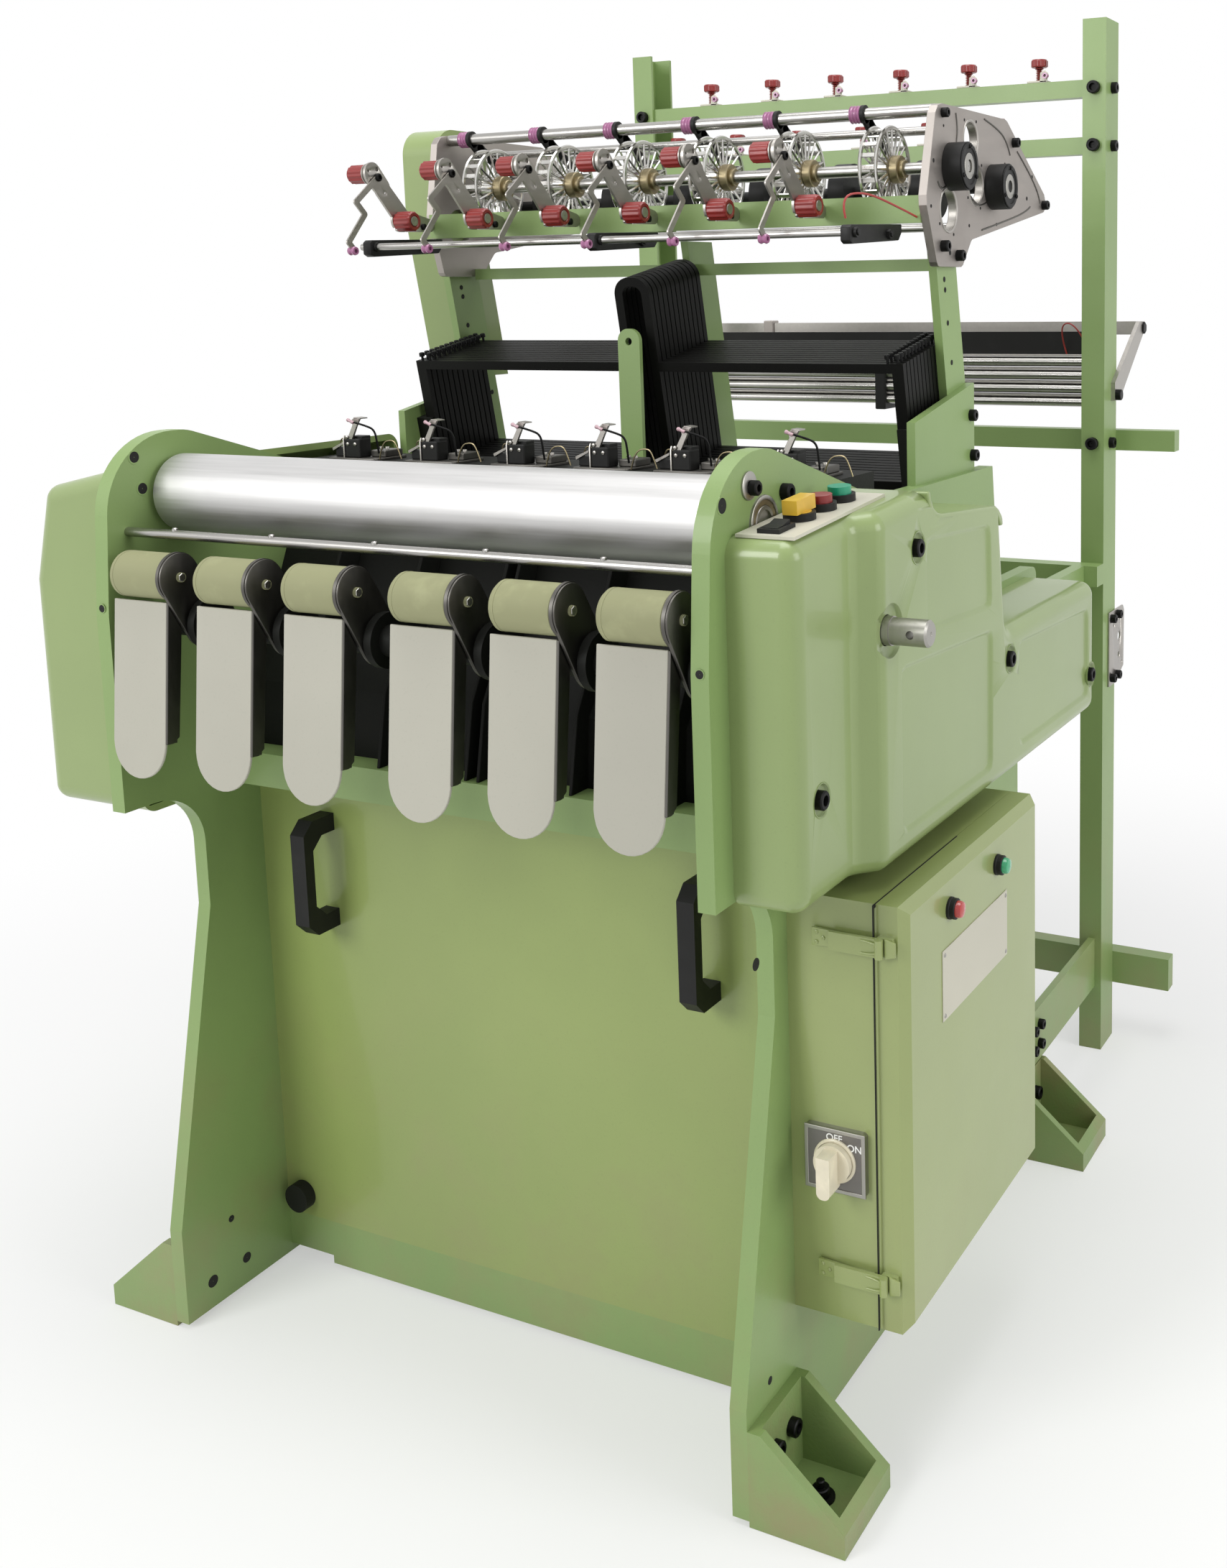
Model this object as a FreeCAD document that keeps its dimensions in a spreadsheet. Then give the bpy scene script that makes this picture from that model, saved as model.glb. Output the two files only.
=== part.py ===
"""Six-tape needle loom for narrow fabrics, 680 mm between its side plates.

X runs to the right as the weaver sees the machine, Y to the back, Z up.
The origin is on the floor under the middle of the machine.  All sizes are
millimetres and degrees and stand in the sheet "Sizes".
"""
import FreeCAD, Part
import math
import os
import Sketcher

V = FreeCAD.Vector
Turn = FreeCAD.Rotation
doc = FreeCAD.newDocument("PowerLoom")
sheet = doc.addObject("Spreadsheet::Sheet", "Sizes")
aliases = []
nodes = []


class Size:
    """A number together with the expression that ties it to the sheet."""

    def __init__(self, value, text):
        self.value = float(value)
        self.text = text

    def __add__(self, other):
        other = size(other)
        return Size(self.value + other.value, "(%s + %s)" % (self.text, other.text))

    def __radd__(self, other):
        return size(other) + self

    def __sub__(self, other):
        other = size(other)
        return Size(self.value - other.value, "(%s - %s)" % (self.text, other.text))

    def __rsub__(self, other):
        return size(other) - self

    def __mul__(self, other):
        other = size(other)
        return Size(self.value * other.value, "(%s * %s)" % (self.text, other.text))

    def __rmul__(self, other):
        return size(other) * self

    def __truediv__(self, other):
        other = size(other)
        return Size(self.value / other.value, "(%s / %s)" % (self.text, other.text))

    def __neg__(self):
        return size(0) - self


def size(number):
    """Any number as a Size."""
    if isinstance(number, Size):
        return number
    return Size(number, repr(float(number)))


def cell(alias, value, note):
    """One row of the sheet: what the size is, its value and its name."""
    aliases.append(alias)
    row = len(aliases)
    sheet.set("A%d" % row, note)
    sheet.set("B%d" % row, str(value))
    sheet.setAlias("B%d" % row, alias)
    return Size(value, "Sizes." + alias)


zero = size(0)

# ---------------------------------------------------------------- main frame
plate_front = cell("plate_front", -598, "Y of the side plates' front edge at the floor")
plate_gap = cell("plate_gap", 704, "clear width between the side plates")
plate_thick = cell("plate_thick", 18, "side plate thickness")
plate_length = cell("plate_length", 812, "side plate, front foot to rear end")
plate_lift = cell("plate_lift", 6, "side plate's lower edge above the floor")
knee_height = cell("knee_height", 117, "top of the plate's upright foot part")
waist_depth = cell("waist_depth", 73, "how far the waist lies behind the foot's front")
waist_low = cell("waist_low", 474, "lower end of the waist")
belly_height = cell("belly_height", 612, "underside of the plate's upper part")
belly_reach = cell("belly_reach", 28, "upper part's overhang in front of the foot")
waist_round = cell("waist_round", 62, "radius under the upper part")
kink_height = cell("kink_height", 824, "height where the front edge turns back")
crown_front = cell("crown_front", 14, "crown's overhang in front of the foot")
crown_height = cell("crown_height", 1010, "top of the plate over the roller")
crown_round = cell("crown_round", 88, "front radius of the crown")
crown_back = cell("crown_back", 88, "distance from the foot's front to the crown's end")
crown_rear_round = cell("crown_rear_round", 60, "rear radius of the crown")
table_start = cell("table_start", 324, "front end of the plate's level top")
table_height = cell("table_height", 934, "height of the plate's level top")
table_end = cell("table_end", 652, "rear end of the plate's level top")
rear_step = cell("rear_step", 785, "height of the plate's rear step")
step_slope = cell("step_slope", 18, "run of the slope down to the rear step")
corner_round = cell("corner_round", 14, "radius of the plate's outer corners")
screw_hole = cell("screw_hole", 5.5, "radius of the plates' tapped holes")

panel_back = cell("panel_back", 156, "front panel behind the foot's front")
panel_sheet = cell("panel_sheet", 3, "thickness of the panel sheet")
panel_fold = cell("panel_fold", 25, "depth of the panel's folded sides")
panel_low = cell("panel_low", 60, "panel's lower edge")
panel_high = cell("panel_high", 612, "panel's upper edge")
bar_low = cell("bar_low", 6, "lower crossbar's underside")
bar_thick = cell("bar_thick", 12, "lower crossbar's thickness")
bar_notch = cell("bar_notch", 66, "length of the notch at the crossbar's ends")
bar_notch_rise = cell("bar_notch_rise", 10, "height of that notch")
ledge_front = cell("ledge_front", 100, "ledge beam behind the foot's front")
ledge_height = cell("ledge_height", 38, "ledge beam's height")
tie_front = cell("tie_front", 608, "rear tie bar behind the foot's front")
tie_depth = cell("tie_depth", 70, "rear tie bar's depth")
tie_top = cell("tie_top", 906, "rear tie bar's top")
tie_height = cell("tie_height", 30, "rear tie bar's height")
rear_tie_back = cell("rear_tie_back", 700, "lower rear tie behind the foot's front")
rear_tie_low = cell("rear_tie_low", 140, "lower rear tie's underside")

head_beam_front = cell("head_beam_front", 252, "head beam behind the foot's front")
head_beam_depth = cell("head_beam_depth", 96, "head beam's depth")
head_beam_top = cell("head_beam_top", 960, "head beam's top")
head_beam_thick = cell("head_beam_thick", 36, "head beam's height")

# ---------------------------------------------------------------- feet
foot_wide = cell("foot_wide", 100, "foot casting's width from the plate")
foot_long = cell("foot_long", 100, "foot casting's length")
foot_wall = cell("foot_wall", 98, "foot casting's height at the plate")
foot_rim = cell("foot_rim", 24, "foot casting's outer height")
foot_ledge = cell("foot_ledge", 14, "level part on top of the foot's wall")
foot_skin = cell("foot_skin", 10, "foot casting's wall thickness")

# ---------------------------------------------------------------- handles
handle_place = cell("handle_place", 252, "handles' distance from the middle")
handle_wide = cell("handle_wide", 20, "handle's width")
handle_drop = cell("handle_drop", 42, "handles' top below the belly")
handle_tall = cell("handle_tall", 133, "handles' height")
handle_high = belly_height - handle_drop
handle_low = handle_high - handle_tall
handle_stand = cell("handle_stand", 47, "how far the handle stands off")
handle_thick = cell("handle_thick", 13, "handle's thickness")
handle_slant = cell("handle_slant", 14, "run of the handle's slanted shoulders")
bumper_place = cell("bumper_place", -326, "bumper's place across the machine")
bumper_height = cell("bumper_height", 86, "bumper's height")
bumper_round = cell("bumper_round", 17, "bumper's radius")
bumper_thick = cell("bumper_thick", 14, "bumper's thickness")

# ---------------------------------------------------------------- take-up
fit_gap = cell("fit_gap", 0.05, "radial running clearance of shafts")
free_gap = cell("free_gap", 0.3, "clearance between moving faces")
roller_back = cell("roller_back", 74, "take-up roller's axis behind the foot's front")
roller_height = cell("roller_height", 943, "take-up roller's axis above the floor")
roller_radius = cell("roller_radius", 42, "take-up roller's radius")
roller_end = cell("roller_end", 5, "gap from the roller's face to the plate")
roller_edge = cell("roller_edge", 3, "roller's end chamfer")
journal_radius = cell("journal_radius", 12.5, "roller journal's radius")
bearing_radius = cell("bearing_radius", 26, "ball bearing's outer radius")
rod_back = cell("rod_back", 4, "guide rod's axis behind the foot's front")
rod_height = cell("rod_height", 909, "guide rod's axis above the floor")
rod_radius = cell("rod_radius", 5, "guide rod's radius")

# ---------------------------------------------------------------- outlets
tape_pitch = cell("tape_pitch", 116, "pitch of the tapes")
outlet_middle = cell("outlet_middle", 132, "middle gap between the two inner outlets")
chute_wide = cell("chute_wide", 74, "chute's width")
chute_long = cell("chute_long", 182, "chute's length with its round tip")
chute_flat = cell("chute_flat", 2, "short flat at the chute's round tip")
chute_sheet = cell("chute_sheet", 3, "chute's sheet thickness")
chute_fold = cell("chute_fold", 14, "depth of the chute's side flange")
chute_top_back = cell("chute_top_back", 20, "chute's top in front of the foot")
chute_top = cell("chute_top", 844, "chute's upper edge")
chute_lean = cell("chute_lean", 5.7, "chute's lean")
nip_back = cell("nip_back", 18, "outlet roller's axis in front of the foot")
nip_height = cell("nip_height", 870, "outlet roller's axis above the floor")
nip_radius = cell("nip_radius", 24, "outlet roller's radius")
nip_long = cell("nip_long", 70, "outlet roller's length")
nip_edge = cell("nip_edge", 3, "outlet roller's end rounding")
axle_radius = cell("axle_radius", 5, "outlet roller's axle radius")
cheek_thick = cell("cheek_thick", 7, "bracket cheek's thickness")
cheek_round = cell("cheek_round", 25, "bracket cheek's front radius")
outlet_shaft_back = cell("outlet_shaft_back", 12, "outlet shaft's axis behind the foot's front")
outlet_drop = cell("outlet_drop", 52, "outlet shaft's drop below the rubber rollers")
outlet_shaft_height = nip_height - outlet_drop
outlet_shaft_radius = cell("outlet_shaft_radius", 16, "outlet shaft's radius")
clamp_radius = cell("clamp_radius", 28, "clamp disc's radius")
clamp_wide = cell("clamp_wide", 9, "clamp disc's width")

# ---------------------------------------------------------------- covers
left_cover_front = cell("left_cover_front", 10, "left cover behind the foot's front")
left_cover_long = cell("left_cover_long", 430, "left cover's length")
left_cover_wide = cell("left_cover_wide", 145, "left cover's width")
left_cover_low = cell("left_cover_low", 596, "left cover's underside")
left_cover_top = cell("left_cover_top", 975, "left cover's top at the plate")
left_cover_shoulder = cell("left_cover_shoulder", 848, "left cover's shoulder height")
left_cover_brow = cell("left_cover_brow", 950, "left cover's brow height")
left_cover_slant = cell("left_cover_slant", 27, "run from the left cover's side to its brow")
cover_round = cell("cover_round", 18, "radius of the covers' edges")
cover_wall = cell("cover_wall", 8, "wall of the gear cover")

gear_front = cell("gear_front", 4, "gear cover behind the foot's front")
gear_low = cell("gear_low", 605, "gear cover's underside")
gear_nose = cell("gear_nose", 938, "gear cover's front height")
gear_rise_end = cell("gear_rise_end", 212, "rear end of the gear cover's sloping top")
gear_top = cell("gear_top", 955, "gear cover's hump height")
gear_hump_end = cell("gear_hump_end", 440, "hump's rear end behind the foot's front")
gear_tail_top = cell("gear_tail_top", 776, "gear cover's rear top")
gear_tail_run = cell("gear_tail_run", 24, "run of the hump's rear slope")
gear_end = cell("gear_end", 786, "gear cover's rear end behind the foot's front")
gear_wide_front = cell("gear_wide_front", 68, "gear cover's width at the front")
gear_wide = cell("gear_wide", 90, "gear cover's full width")
gear_step = cell("gear_step", 112, "start of the step in width")
gear_step_run = cell("gear_step_run", 22, "run of the step in width")
shaft_back = cell("shaft_back", 151, "drive shaft's axis behind the foot's front")
shaft_height = cell("shaft_height", 836, "drive shaft's axis above the floor")
shaft_radius = cell("shaft_radius", 14, "drive shaft's radius")
shaft_end_radius = cell("shaft_end_radius", 13, "drive shaft end's radius")
shaft_out = cell("shaft_out", 40, "drive shaft standing out of the cover")
shaft_in = cell("shaft_in", 60, "drive shaft's length inside the plate")
shaft_edge = cell("shaft_edge", 2, "drive shaft's end chamfer")
bore_relief = cell("bore_relief", 1, "clearance of the drive shaft in the cover")
shaft_pin_hole = cell("shaft_pin_hole", 4, "radius of the cross hole in the shaft")
shaft_pin_in = cell("shaft_pin_in", 16, "cross hole's distance from the shaft's end")
recess_radius = cell("recess_radius", 26, "recess round the drive shaft")
recess_depth = cell("recess_depth", 5, "depth of that recess")
pocket_radius = cell("pocket_radius", 15, "recess round a cover screw")
pocket_depth = cell("pocket_depth", 5, "depth of that recess")

# ---------------------------------------------------------------- controls
deck_start = cell("deck_start", 12, "control plate's start on the sloping top")
deck_long = cell("deck_long", 186, "control plate's length")
deck_wide = cell("deck_wide", 58, "control plate's width")
deck_thick = cell("deck_thick", 3, "control plate's thickness")
deck_inset = cell("deck_inset", 4, "control plate's distance from the side plate")
rocker_place = cell("rocker_place", 34, "rocker's place along the control plate")
selector_place = cell("selector_place", 78, "selector's place along the control plate")
red_place = cell("red_place", 120, "red button's place along the control plate")
green_place = cell("green_place", 160, "green button's place along the control plate")
bezel_radius = cell("bezel_radius", 15, "bezel's outer radius")
bezel_bore = cell("bezel_bore", 11.5, "bezel's bore radius")
bezel_tall = cell("bezel_tall", 7, "bezel's height")
button_travel = cell("button_travel", 4, "button's travel")
button_tall = cell("button_tall", 7, "button's height above its bezel")
selector_tall = cell("selector_tall", 13, "selector handle's height")
selector_long = cell("selector_long", 36, "selector handle's length")
selector_wide = cell("selector_wide", 15, "selector handle's width")
rocker_wide = cell("rocker_wide", 22, "rocker frame's width")
rocker_long = cell("rocker_long", 30, "rocker frame's length")
rocker_rim = cell("rocker_rim", 3, "rocker frame's rim")
rocker_tall = cell("rocker_tall", 4, "rocker frame's height")
rocker_tilt = cell("rocker_tilt", 8, "rocker's tilt from level")

# ---------------------------------------------------------------- cabinet
cabinet_front = cell("cabinet_front", 100, "cabinet behind the foot's front")
cabinet_long = cell("cabinet_long", 362, "cabinet's length")
cabinet_low = cell("cabinet_low", 165, "cabinet's underside")
cabinet_tall = cell("cabinet_tall", 425, "cabinet's height")
cabinet_deep = cell("cabinet_deep", 92, "cabinet's depth from the plate")
cabinet_sheet = cell("cabinet_sheet", 3, "cabinet's sheet thickness")
door_deep = cell("door_deep", 32, "cabinet door's depth")
door_bevel = cell("door_bevel", 9, "bevel round the cabinet door")
door_swing = cell("door_swing", 0.3, "seam between the door and the body")
latch_drop = cell("latch_drop", 30, "upper latch under the cabinet's top")
latch_rise = cell("latch_rise", 42, "lower latch over the cabinet's underside")
latch_tall = cell("latch_tall", 18, "latch's height")
latch_long = cell("latch_long", 44, "latch lever's length")
latch_thick = cell("latch_thick", 4, "latch lever's thickness")
latch_base = cell("latch_base", 5, "latch base's thickness")
latch_pivot = cell("latch_pivot", 4, "latch barrel's radius")
switch_place = cell("switch_place", 50, "main switch's distance from the side plate")
switch_height = cell("switch_height", 331, "main switch's height above the floor")
switch_size = cell("switch_size", 64, "main switch plate's side")
switch_thick = cell("switch_thick", 6, "main switch plate's thickness")
switch_edge = cell("switch_edge", 4, "main switch plate's corner radius")
knob_radius = cell("knob_radius", 19, "main switch knob's radius")
knob_base = cell("knob_base", 9, "main switch knob's base thickness")
knob_tall = cell("knob_tall", 27, "main switch knob's height")
grip_wide = cell("grip_wide", 14, "knob grip's width")
grip_long = cell("grip_long", 26, "knob grip's reach below its axis")
lamp_height = cell("lamp_height", 553, "lamps' height above the floor")
lamp_red_back = cell("lamp_red_back", 204, "red lamp behind the foot's front")
lamp_green_back = cell("lamp_green_back", 333, "green lamp behind the foot's front")
lamp_ring = cell("lamp_ring", 11, "lamp ring's radius")
lamp_radius = cell("lamp_radius", 8.5, "lamp lens's radius")
lamp_out = cell("lamp_out", 15, "lamp's height over the door")
lamp_ring_out = cell("lamp_ring_out", 5, "lamp ring's height over the door")

# ---------------------------------------------------------------- heald frames
lean = cell("lean", 11, "forward lean of the heald frames and uprights")
shed_back = cell("shed_back", 478, "front heald frame's foot behind the foot's front")
shed_height = cell("shed_height", 922, "heald frames' lower edge above the floor")
frame_pitch = cell("frame_pitch", 10, "pitch of the heald frames")
frame_thick = cell("frame_thick", 8, "heald frame's thickness")
frame_tall = cell("frame_tall", 148, "heald frame's height")
stile_wide = cell("stile_wide", 14, "heald frame stile's width")
rail_tall = cell("rail_tall", 11, "heald frame rail's height")
loop_half = cell("loop_half", 24, "centre loop's half width")
loop_leg = cell("loop_leg", 11, "centre loop leg's width")
loop_tall = cell("loop_tall", 250, "centre loop's height")
loop_round = cell("loop_round", 21, "centre loop's shoulder radius")
frame_count = 12
guide_lip = cell("guide_lip", 6, "frame guide's lip thickness")
guide_reach = cell("guide_reach", 12, "frame guide's lip reach")
guide_low = cell("guide_low", -8, "frame guide's lower end along the lean")
guide_high = cell("guide_high", 74, "frame guide's upper end along the lean")

# ---------------------------------------------------------------- uprights
upright_thick = cell("upright_thick", 10, "upright's thickness")
upright_foot = cell("upright_foot", 894, "side upright's lower end")
upright_front = cell("upright_front", 578, "upright's front at its lower end")
upright_wide = cell("upright_wide", 59, "upright's width")
upright_top = cell("upright_top", 1212, "upright's upper end")
centre_front = cell("centre_front", 616, "centre upright's front at the side uprights' foot height")
gusset_front = cell("gusset_front", 435, "gusset plate's front")
gusset_end = cell("gusset_end", 612, "gusset plate's rear end")
gusset_front_top = cell("gusset_front_top", 1004, "gusset plate's front height")
gusset_rear_top = cell("gusset_rear_top", 1038, "gusset plate's rear height")
arm_back = cell("arm_back", 424, "centre arm behind the foot's front")
arm_thick = cell("arm_thick", 6, "centre arm's thickness")
arm_wide = cell("arm_wide", 30, "centre arm's width")
arm_top = cell("arm_top", 1108, "centre arm's upper end")
arm_hole = cell("arm_hole", 4.5, "radius of the hole in the centre arm")
stay_back = cell("stay_back", 564, "upper crossbar behind the foot's front")
stay_deep = cell("stay_deep", 14, "upper crossbar's depth")
stay_low = cell("stay_low", 1170, "upper crossbar's underside")
stay_tall = cell("stay_tall", 14, "upper crossbar's height")
beam_back = cell("beam_back", 478, "feeder beam behind the foot's front")
beam_deep = cell("beam_deep", 14, "feeder beam's depth")
beam_low = cell("beam_low", 1222, "feeder beam's underside")
beam_tall = cell("beam_tall", 30, "feeder beam's height")

# ---------------------------------------------------------------- feeder
side_thick = cell("side_thick", 10, "feeder side plate's thickness")
side_front = cell("side_front", 472, "feeder side plate's front")
side_left_front = cell("side_left_front", 484, "left feeder plate's front")
side_foot = cell("side_foot", 1174, "feeder side plate's lower edge")
side_foot_end = cell("side_foot_end", 578, "rear of the side plate's foot")
side_knee = cell("side_knee", 1206, "height where the side plate runs back")
side_knee_back = cell("side_knee_back", 608, "place of that knee")
side_tail = cell("side_tail", 872, "feeder side plate's rear end")
side_tail_low = cell("side_tail_low", 1248, "tail's lower height")
side_tail_high = cell("side_tail_high", 1268, "tail's upper height")
side_top = cell("side_top", 1354, "feeder side plate's top")
side_top_end = cell("side_top_end", 726, "rear end of the side plate's top")
side_nose = cell("side_nose", 1246, "height of the side plate's front corner")
side_round = cell("side_round", 16, "radius of the side plate's corners")
window_radius = cell("window_radius", 23, "round windows of the side plates")
window_a_back = cell("window_a_back", 614, "upper window's place")
window_a_height = cell("window_a_height", 1318, "upper window's height")
window_b_back = cell("window_b_back", 546, "lower window's place")
window_b_height = cell("window_b_height", 1228, "lower window's height")
window_c_back = cell("window_c_back", 638, "rear window's place")
window_c_height = cell("window_c_height", 1262, "rear window's height")
feed_back = cell("feed_back", 544, "feed wheel shaft's axis")
feed_height = cell("feed_height", 1286, "feed wheel shaft's height")
feed_shaft = cell("feed_shaft", 7, "feed wheel shaft's radius")
wheel_radius = cell("wheel_radius", 50, "feed wheel's radius")
wheel_pitch = cell("wheel_pitch", 112, "feed wheels' pitch")
wheel_half = cell("wheel_half", 14, "half distance of a wheel's two discs")
hub_proud = cell("hub_proud", 9, "feeder wheel hub standing out of the wheel")
wheel_hub = cell("wheel_hub", 12, "wheel hub's radius")
wheel_windows = 12
knob_sides = 12
wheel_spoke = cell("wheel_spoke", 3.2, "width of a wheel's spokes")
wheel_window_low = cell("wheel_window_low", 16, "inner radius of a wheel's windows")
wheel_window_high = cell("wheel_window_high", 45, "outer radius of a wheel's windows")
press_back = cell("press_back", 676, "second feed shaft's axis")
press_height = cell("press_height", 1270, "second feed shaft's height")
press_radius = cell("press_radius", 36, "black wheel's radius")
press_wide = cell("press_wide", 22, "black wheel's width")
hub_radius = cell("hub_radius", 27, "bearing hub's radius")
hub_out = cell("hub_out", 22, "bearing hub's height")
top_rod_back = cell("top_rod_back", 526, "top rod's axis")
top_rod_height = cell("top_rod_height", 1348, "top rod's height")
top_rod_radius = cell("top_rod_radius", 7, "top rod's radius")
mid_rod_radius = cell("mid_rod_radius", 5, "other feeder rods' radius")
mid_rod_back = cell("mid_rod_back", 586, "middle feeder rod's axis")
mid_rod_height = cell("mid_rod_height", 1332, "middle feeder rod's height")
rear_rod_back = cell("rear_rod_back", 758, "rear feeder rod's axis")
rear_rod_height = cell("rear_rod_height", 1300, "rear feeder rod's height")
low_rod_back = cell("low_rod_back", 626, "low feeder rod's axis")
low_rod_height = cell("low_rod_height", 1222, "low feeder rod's height")

stop_rod_back = cell("stop_rod_back", 356, "stop motion rod's axis")
stop_drop = cell("stop_drop", 13, "stop motion rod's axis below the crossbar's underside")
stop_rod_height = beam_low - stop_drop
stop_rod_radius = cell("stop_rod_radius", 4, "stop motion rod's radius")
stop_rod_half = cell("stop_rod_half", 334, "stop motion rod's half length")
block_wide = cell("block_wide", 26, "stop motion block's width")
block_tall = cell("block_tall", 28, "stop motion block's height")
block_lap = cell("block_lap", 2, "block's overlap in front of the rod")
block_lift = cell("block_lift", 3, "block's top above the feeder beam's underside")
block_place = cell("block_place", 312, "outer blocks' distance from the middle")
arm_sheet = cell("arm_sheet", 3, "tension arm's sheet thickness")
arm_first = cell("arm_first", -327, "first tension arm's place")
arm_tab = cell("arm_tab", 34, "tension arm's width at the beam")
arm_lift = cell("arm_lift", 4, "tension arm's lower edge above the beam's underside")
arm_knee_out = cell("arm_knee_out", 66, "lower dial in front of the beam")
arm_knee_up = cell("arm_knee_up", 19, "lower dial above the beam's underside")
arm_head_out = cell("arm_head_out", 107, "upper dial in front of the beam")
arm_head_up = cell("arm_head_up", 75, "upper dial above the beam's underside")
arm_half_wide = cell("arm_half_wide", 13, "tension arm's half width")
dial_radius = cell("dial_radius", 11, "tension dial's radius")
dial_long = cell("dial_long", 24, "tension dial's length")
disc_radius = cell("disc_radius", 14, "tension disc's radius")
disc_thick = cell("disc_thick", 5, "tension disc's thickness")

belt_top = cell("belt_top", 1364, "belt guard's top")
belt_round = cell("belt_round", 34, "belt guard's corner radius")
belt_out = cell("belt_out", 45, "belt guard's reach outside the upright")
belt_deep = cell("belt_deep", 100, "belt guard's depth")
belt_chin = cell("belt_chin", 1246, "height where the belt guard stands upright")
belt_foot = cell("belt_foot", 1040, "belt guard's lower end")

# ---------------------------------------------------------------- creel
post_front = cell("post_front", 1050, "creel posts behind the foot's front")
post_deep = cell("post_deep", 60, "creel post's depth")
post_wide = cell("post_wide", 34, "creel post's width")
post_place = cell("post_place", 356, "creel post's inner side from the middle")
post_sheet = cell("post_sheet", 5, "creel post's wall")
post_tall = cell("post_tall", 1520, "creel post's height")
rail_deep = cell("rail_deep", 22, "creel rail's depth")
rail_high_low = cell("rail_high_low", 1414, "upper creel rail's underside")
rail_thick = cell("rail_thick", 24, "creel rails' height")
rail_mid_low = cell("rail_mid_low", 1335, "second creel rail's underside")
rear_beam_half = cell("rear_beam_half", 478, "rear beams' half length")
rear_beam_deep = cell("rear_beam_deep", 26, "rear beams' depth")
rear_beam_low = cell("rear_beam_low", 910, "rear beam's underside")
rear_beam_tall = cell("rear_beam_tall", 30, "rear beam's height")
floor_beam_low = cell("floor_beam_low", 84, "floor beam's underside")
floor_beam_tall = cell("floor_beam_tall", 50, "floor beam's height")
runner_front = cell("runner_front", 742, "floor runners' front end")
runner_rise = cell("runner_rise", 2, "floor runners' gap over the rear feet")
runner_tall = cell("runner_tall", 76, "floor runners' height")
runner_thick = cell("runner_thick", 10, "floor runners' thickness")
back_stay_low = cell("back_stay_low", 720, "back stays' underside")
back_stay_tall = cell("back_stay_tall", 30, "back stays' height")
back_stay_deep = cell("back_stay_deep", 30, "depth of the stay across the machine")
guide_first = cell("guide_first", -256, "first yarn tensioner on the upper rail")
guide_second = cell("guide_second", -320, "first yarn tensioner on the second rail")
guide_pitch = cell("guide_pitch", 108.5, "yarn tensioners' pitch")
guide_base = cell("guide_base", 30, "yarn tensioner base's length")
guide_base_thick = cell("guide_base_thick", 4, "yarn tensioner base's thickness")
guide_stem = cell("guide_stem", 4, "yarn tensioner stem's radius")
guide_stem_tall = cell("guide_stem_tall", 18, "yarn tensioner stem's height")
guide_knob = cell("guide_knob", 12, "yarn tensioner knob's radius")
guide_knob_tall = cell("guide_knob_tall", 12, "yarn tensioner knob's height")

drop_deep = cell("drop_deep", 66, "drop wire bracket's depth")
drop_low = cell("drop_low", 958, "drop wire bracket's underside")
drop_tall = cell("drop_tall", 96, "drop wire bracket's height")
drop_thick = cell("drop_thick", 14, "drop wire bracket's thickness")
drop_tube = cell("drop_tube", 7, "drop wire tube's radius")
drop_tube_pitch = cell("drop_tube_pitch", 20, "drop wire tubes' pitch")
drop_bar_back = cell("drop_bar_back", 1226, "aluminium bar's place")
drop_bar_deep = cell("drop_bar_deep", 14, "aluminium bar's depth")
drop_bar_low = cell("drop_bar_low", 1076, "aluminium bar's underside")
drop_bar_tall = cell("drop_bar_tall", 20, "aluminium bar's height")
drop_arm_low = cell("drop_arm_low", 985, "drop wire arm's lower end")
drop_arm_wide = cell("drop_arm_wide", 26, "drop wire arm's width")
drop_arm_thick = cell("drop_arm_thick", 6, "drop wire arm's thickness")

# ---------------------------------------------------------------- screws
screw_head = cell("screw_head", 9, "cap screw head's radius")
screw_tall = cell("screw_tall", 9, "cap screw head's height")
bolt_head = cell("bolt_head", 10, "foot bolt's hexagon radius")
bolt_tall = cell("bolt_tall", 9, "foot bolt's head height")
washer_radius = cell("washer_radius", 14, "foot bolt washer's radius")
washer_thick = cell("washer_thick", 3, "foot bolt washer's thickness")

doc.recompute()

# derived places that several pieces share
inner = plate_gap / 2
outer = inner + plate_thick
frame_half = inner - upright_thick - free_gap


def back(distance):
    """Y of a place measured from the front of the plates' feet."""
    return plate_front + distance


# ---------------------------------------------------------------- tools
PLANES = {"xy": "XY_Plane", "xz": "XZ_Plane", "yz": "YZ_Plane"}


def rounded(points, i):
    """Tangent points and arc of one rounded corner of an outline."""
    here = V(points[i][0].value, points[i][1].value, 0)
    if len(points[i]) < 3:
        return here, None, here
    before = points[i - 1]
    after = points[(i + 1) % len(points)]
    a = V(before[0].value, before[1].value, 0) - here
    b = V(after[0].value, after[1].value, 0) - here
    half = a.getAngle(b) / 2.0
    a.normalize()
    b.normalize()
    radius = points[i][2].value
    reach = radius / math.tan(half)
    middle = a + b
    middle.normalize()
    centre = here + middle * (radius / math.sin(half))
    return here + a * reach, (centre, radius), here + b * reach


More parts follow.
